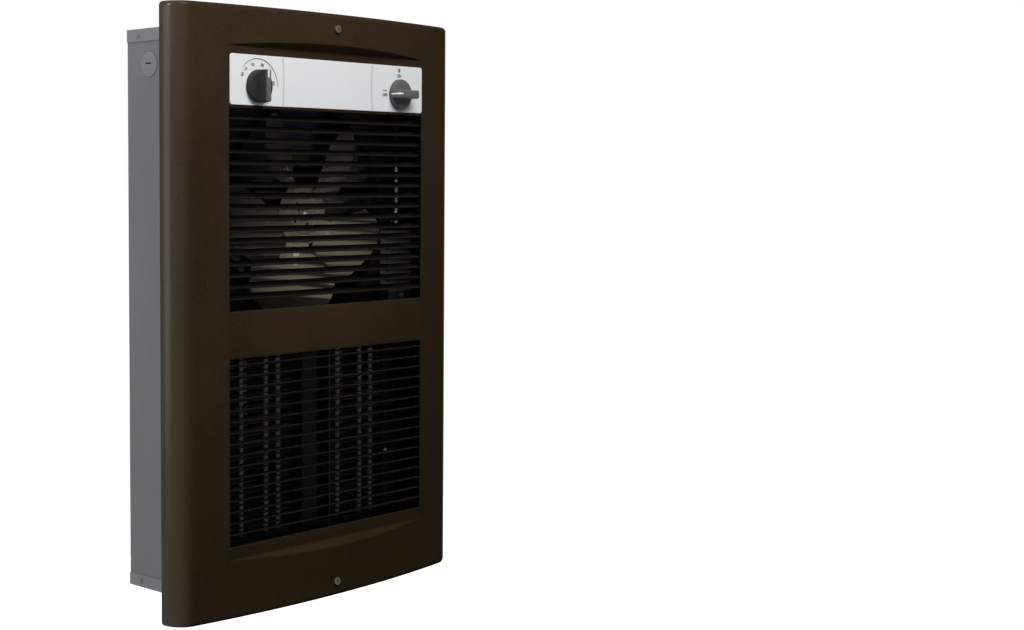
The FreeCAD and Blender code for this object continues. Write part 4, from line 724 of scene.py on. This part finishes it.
def white_where_seen(tree, strength_elsewhere):
    """1 for camera, glossy and transmission rays, and a plain strength for the rest."""
    path = add(tree, "ShaderNodeLightPath")
    seen = maths(tree, "MAXIMUM", path.outputs["Is Camera Ray"], path.outputs["Is Glossy Ray"])
    seen = maths(tree, "MAXIMUM", seen, path.outputs["Is Transmission Ray"])
    return remap(tree, seen, 0.0, 1.0, strength_elsewhere, 1.0)


ROOM_STRENGTH = 0.06


def light_the_room():
    world = bpy.data.worlds.new("white_room")
    bpy.context.scene.world = world
    world.use_nodes = True
    back = world.node_tree.nodes["Background"]
    back.inputs["Color"].default_value = (1.0, 1.0, 1.0, 1.0)
    world.node_tree.links.new(white_where_seen(world.node_tree, ROOM_STRENGTH), back.inputs["Strength"])
    softbox("key_softbox", place=(-0.20, -0.78, 0.97), size=(0.75, 0.5), watts=14.0)
    softbox("left_softbox", place=(-2.6, 0.45, 0.15), size=(1.3, 1.3), watts=17.5)
    softbox("edge_strip", place=(-1.9, -0.12, 0.95), size=(0.14, 0.5), watts=19.0)
    softbox("rear_softbox", place=(1.9, 2.0, 0.9), size=(1.4, 1.4), watts=34.0)
    spot("fan_spot", place=(-0.95, -1.25, -0.20), target=(0.030, -0.09, 0.055), degrees=7.0, watts=35.0,
         colour=(1.0, 0.95, 0.84))
    spot("cool_spot", place=(-0.95, -1.25, -0.36), target=(0.02, -0.09, 0.172), degrees=5.2, watts=6.0,
         colour=(0.45, 0.48, 1.0))


FLOOR_HALF_WIDTH, FLOOR_DROP = 9.0, 0.8
FLOOR_TONES = (0.46, 0.46, 0.46, 1.0), (0.50, 0.50, 0.50, 1.0)


def lay_floor():
    """A wide pale floor under the heater, well below it as under a wall-hung thing."""
    mesh = bpy.data.meshes.new("floor")
    bm = bmesh.new()
    bmesh.ops.create_grid(bm, x_segments=24, y_segments=24, size=FLOOR_HALF_WIDTH,
                          matrix=Matrix.Translation((0.0, 0.0, -FLOOR_DROP)))
    bm.to_mesh(mesh)
    bm.free()
    floor = bpy.data.objects.new("floor", mesh)
    bpy.context.scene.collection.objects.link(floor)
    paper = bpy.data.materials.new("pale_floor")
    paper.use_nodes = True
    tree = paper.node_tree
    shader = tree.nodes["Principled BSDF"]
    shader.inputs["Roughness"].default_value = 0.9
    shader.inputs["Specular IOR Level"].default_value = 0.0
    grain = place_group(tree, GRAIN, Fine=300.0, Broad=2.0)
    tree.links.new(blend_colour(tree, grain["Cloud"], *FLOOR_TONES), shader.inputs["Base Color"])
    shader.inputs["Emission Color"].default_value = (1.0, 1.0, 1.0, 1.0)
    tree.links.new(white_where_seen(tree, 0.0), shader.inputs["Emission Strength"])
    mesh.materials.append(paper)


def set_camera():
    """The photo's view, worked out from the heater's edges."""
    data = bpy.data.cameras.new("photo_view")
    data.sensor_width = 36.0
    data.lens = 55.85
    data.shift_x = 0.208
    data.shift_y = -0.0460
    data.clip_end = 50.0
    camera = bpy.data.objects.new("photo_view", data)
    camera.location = (-1.2689, -1.3590, 0.1364)
    camera.rotation_euler = (math.radians(90.0 - 3.008), 0.0, math.radians(-44.786))
    bpy.context.scene.collection.objects.link(camera)
    bpy.context.scene.camera = camera


light_the_room()
lay_floor()
set_camera()
bpy.context.scene.view_settings.view_transform = "Standard"
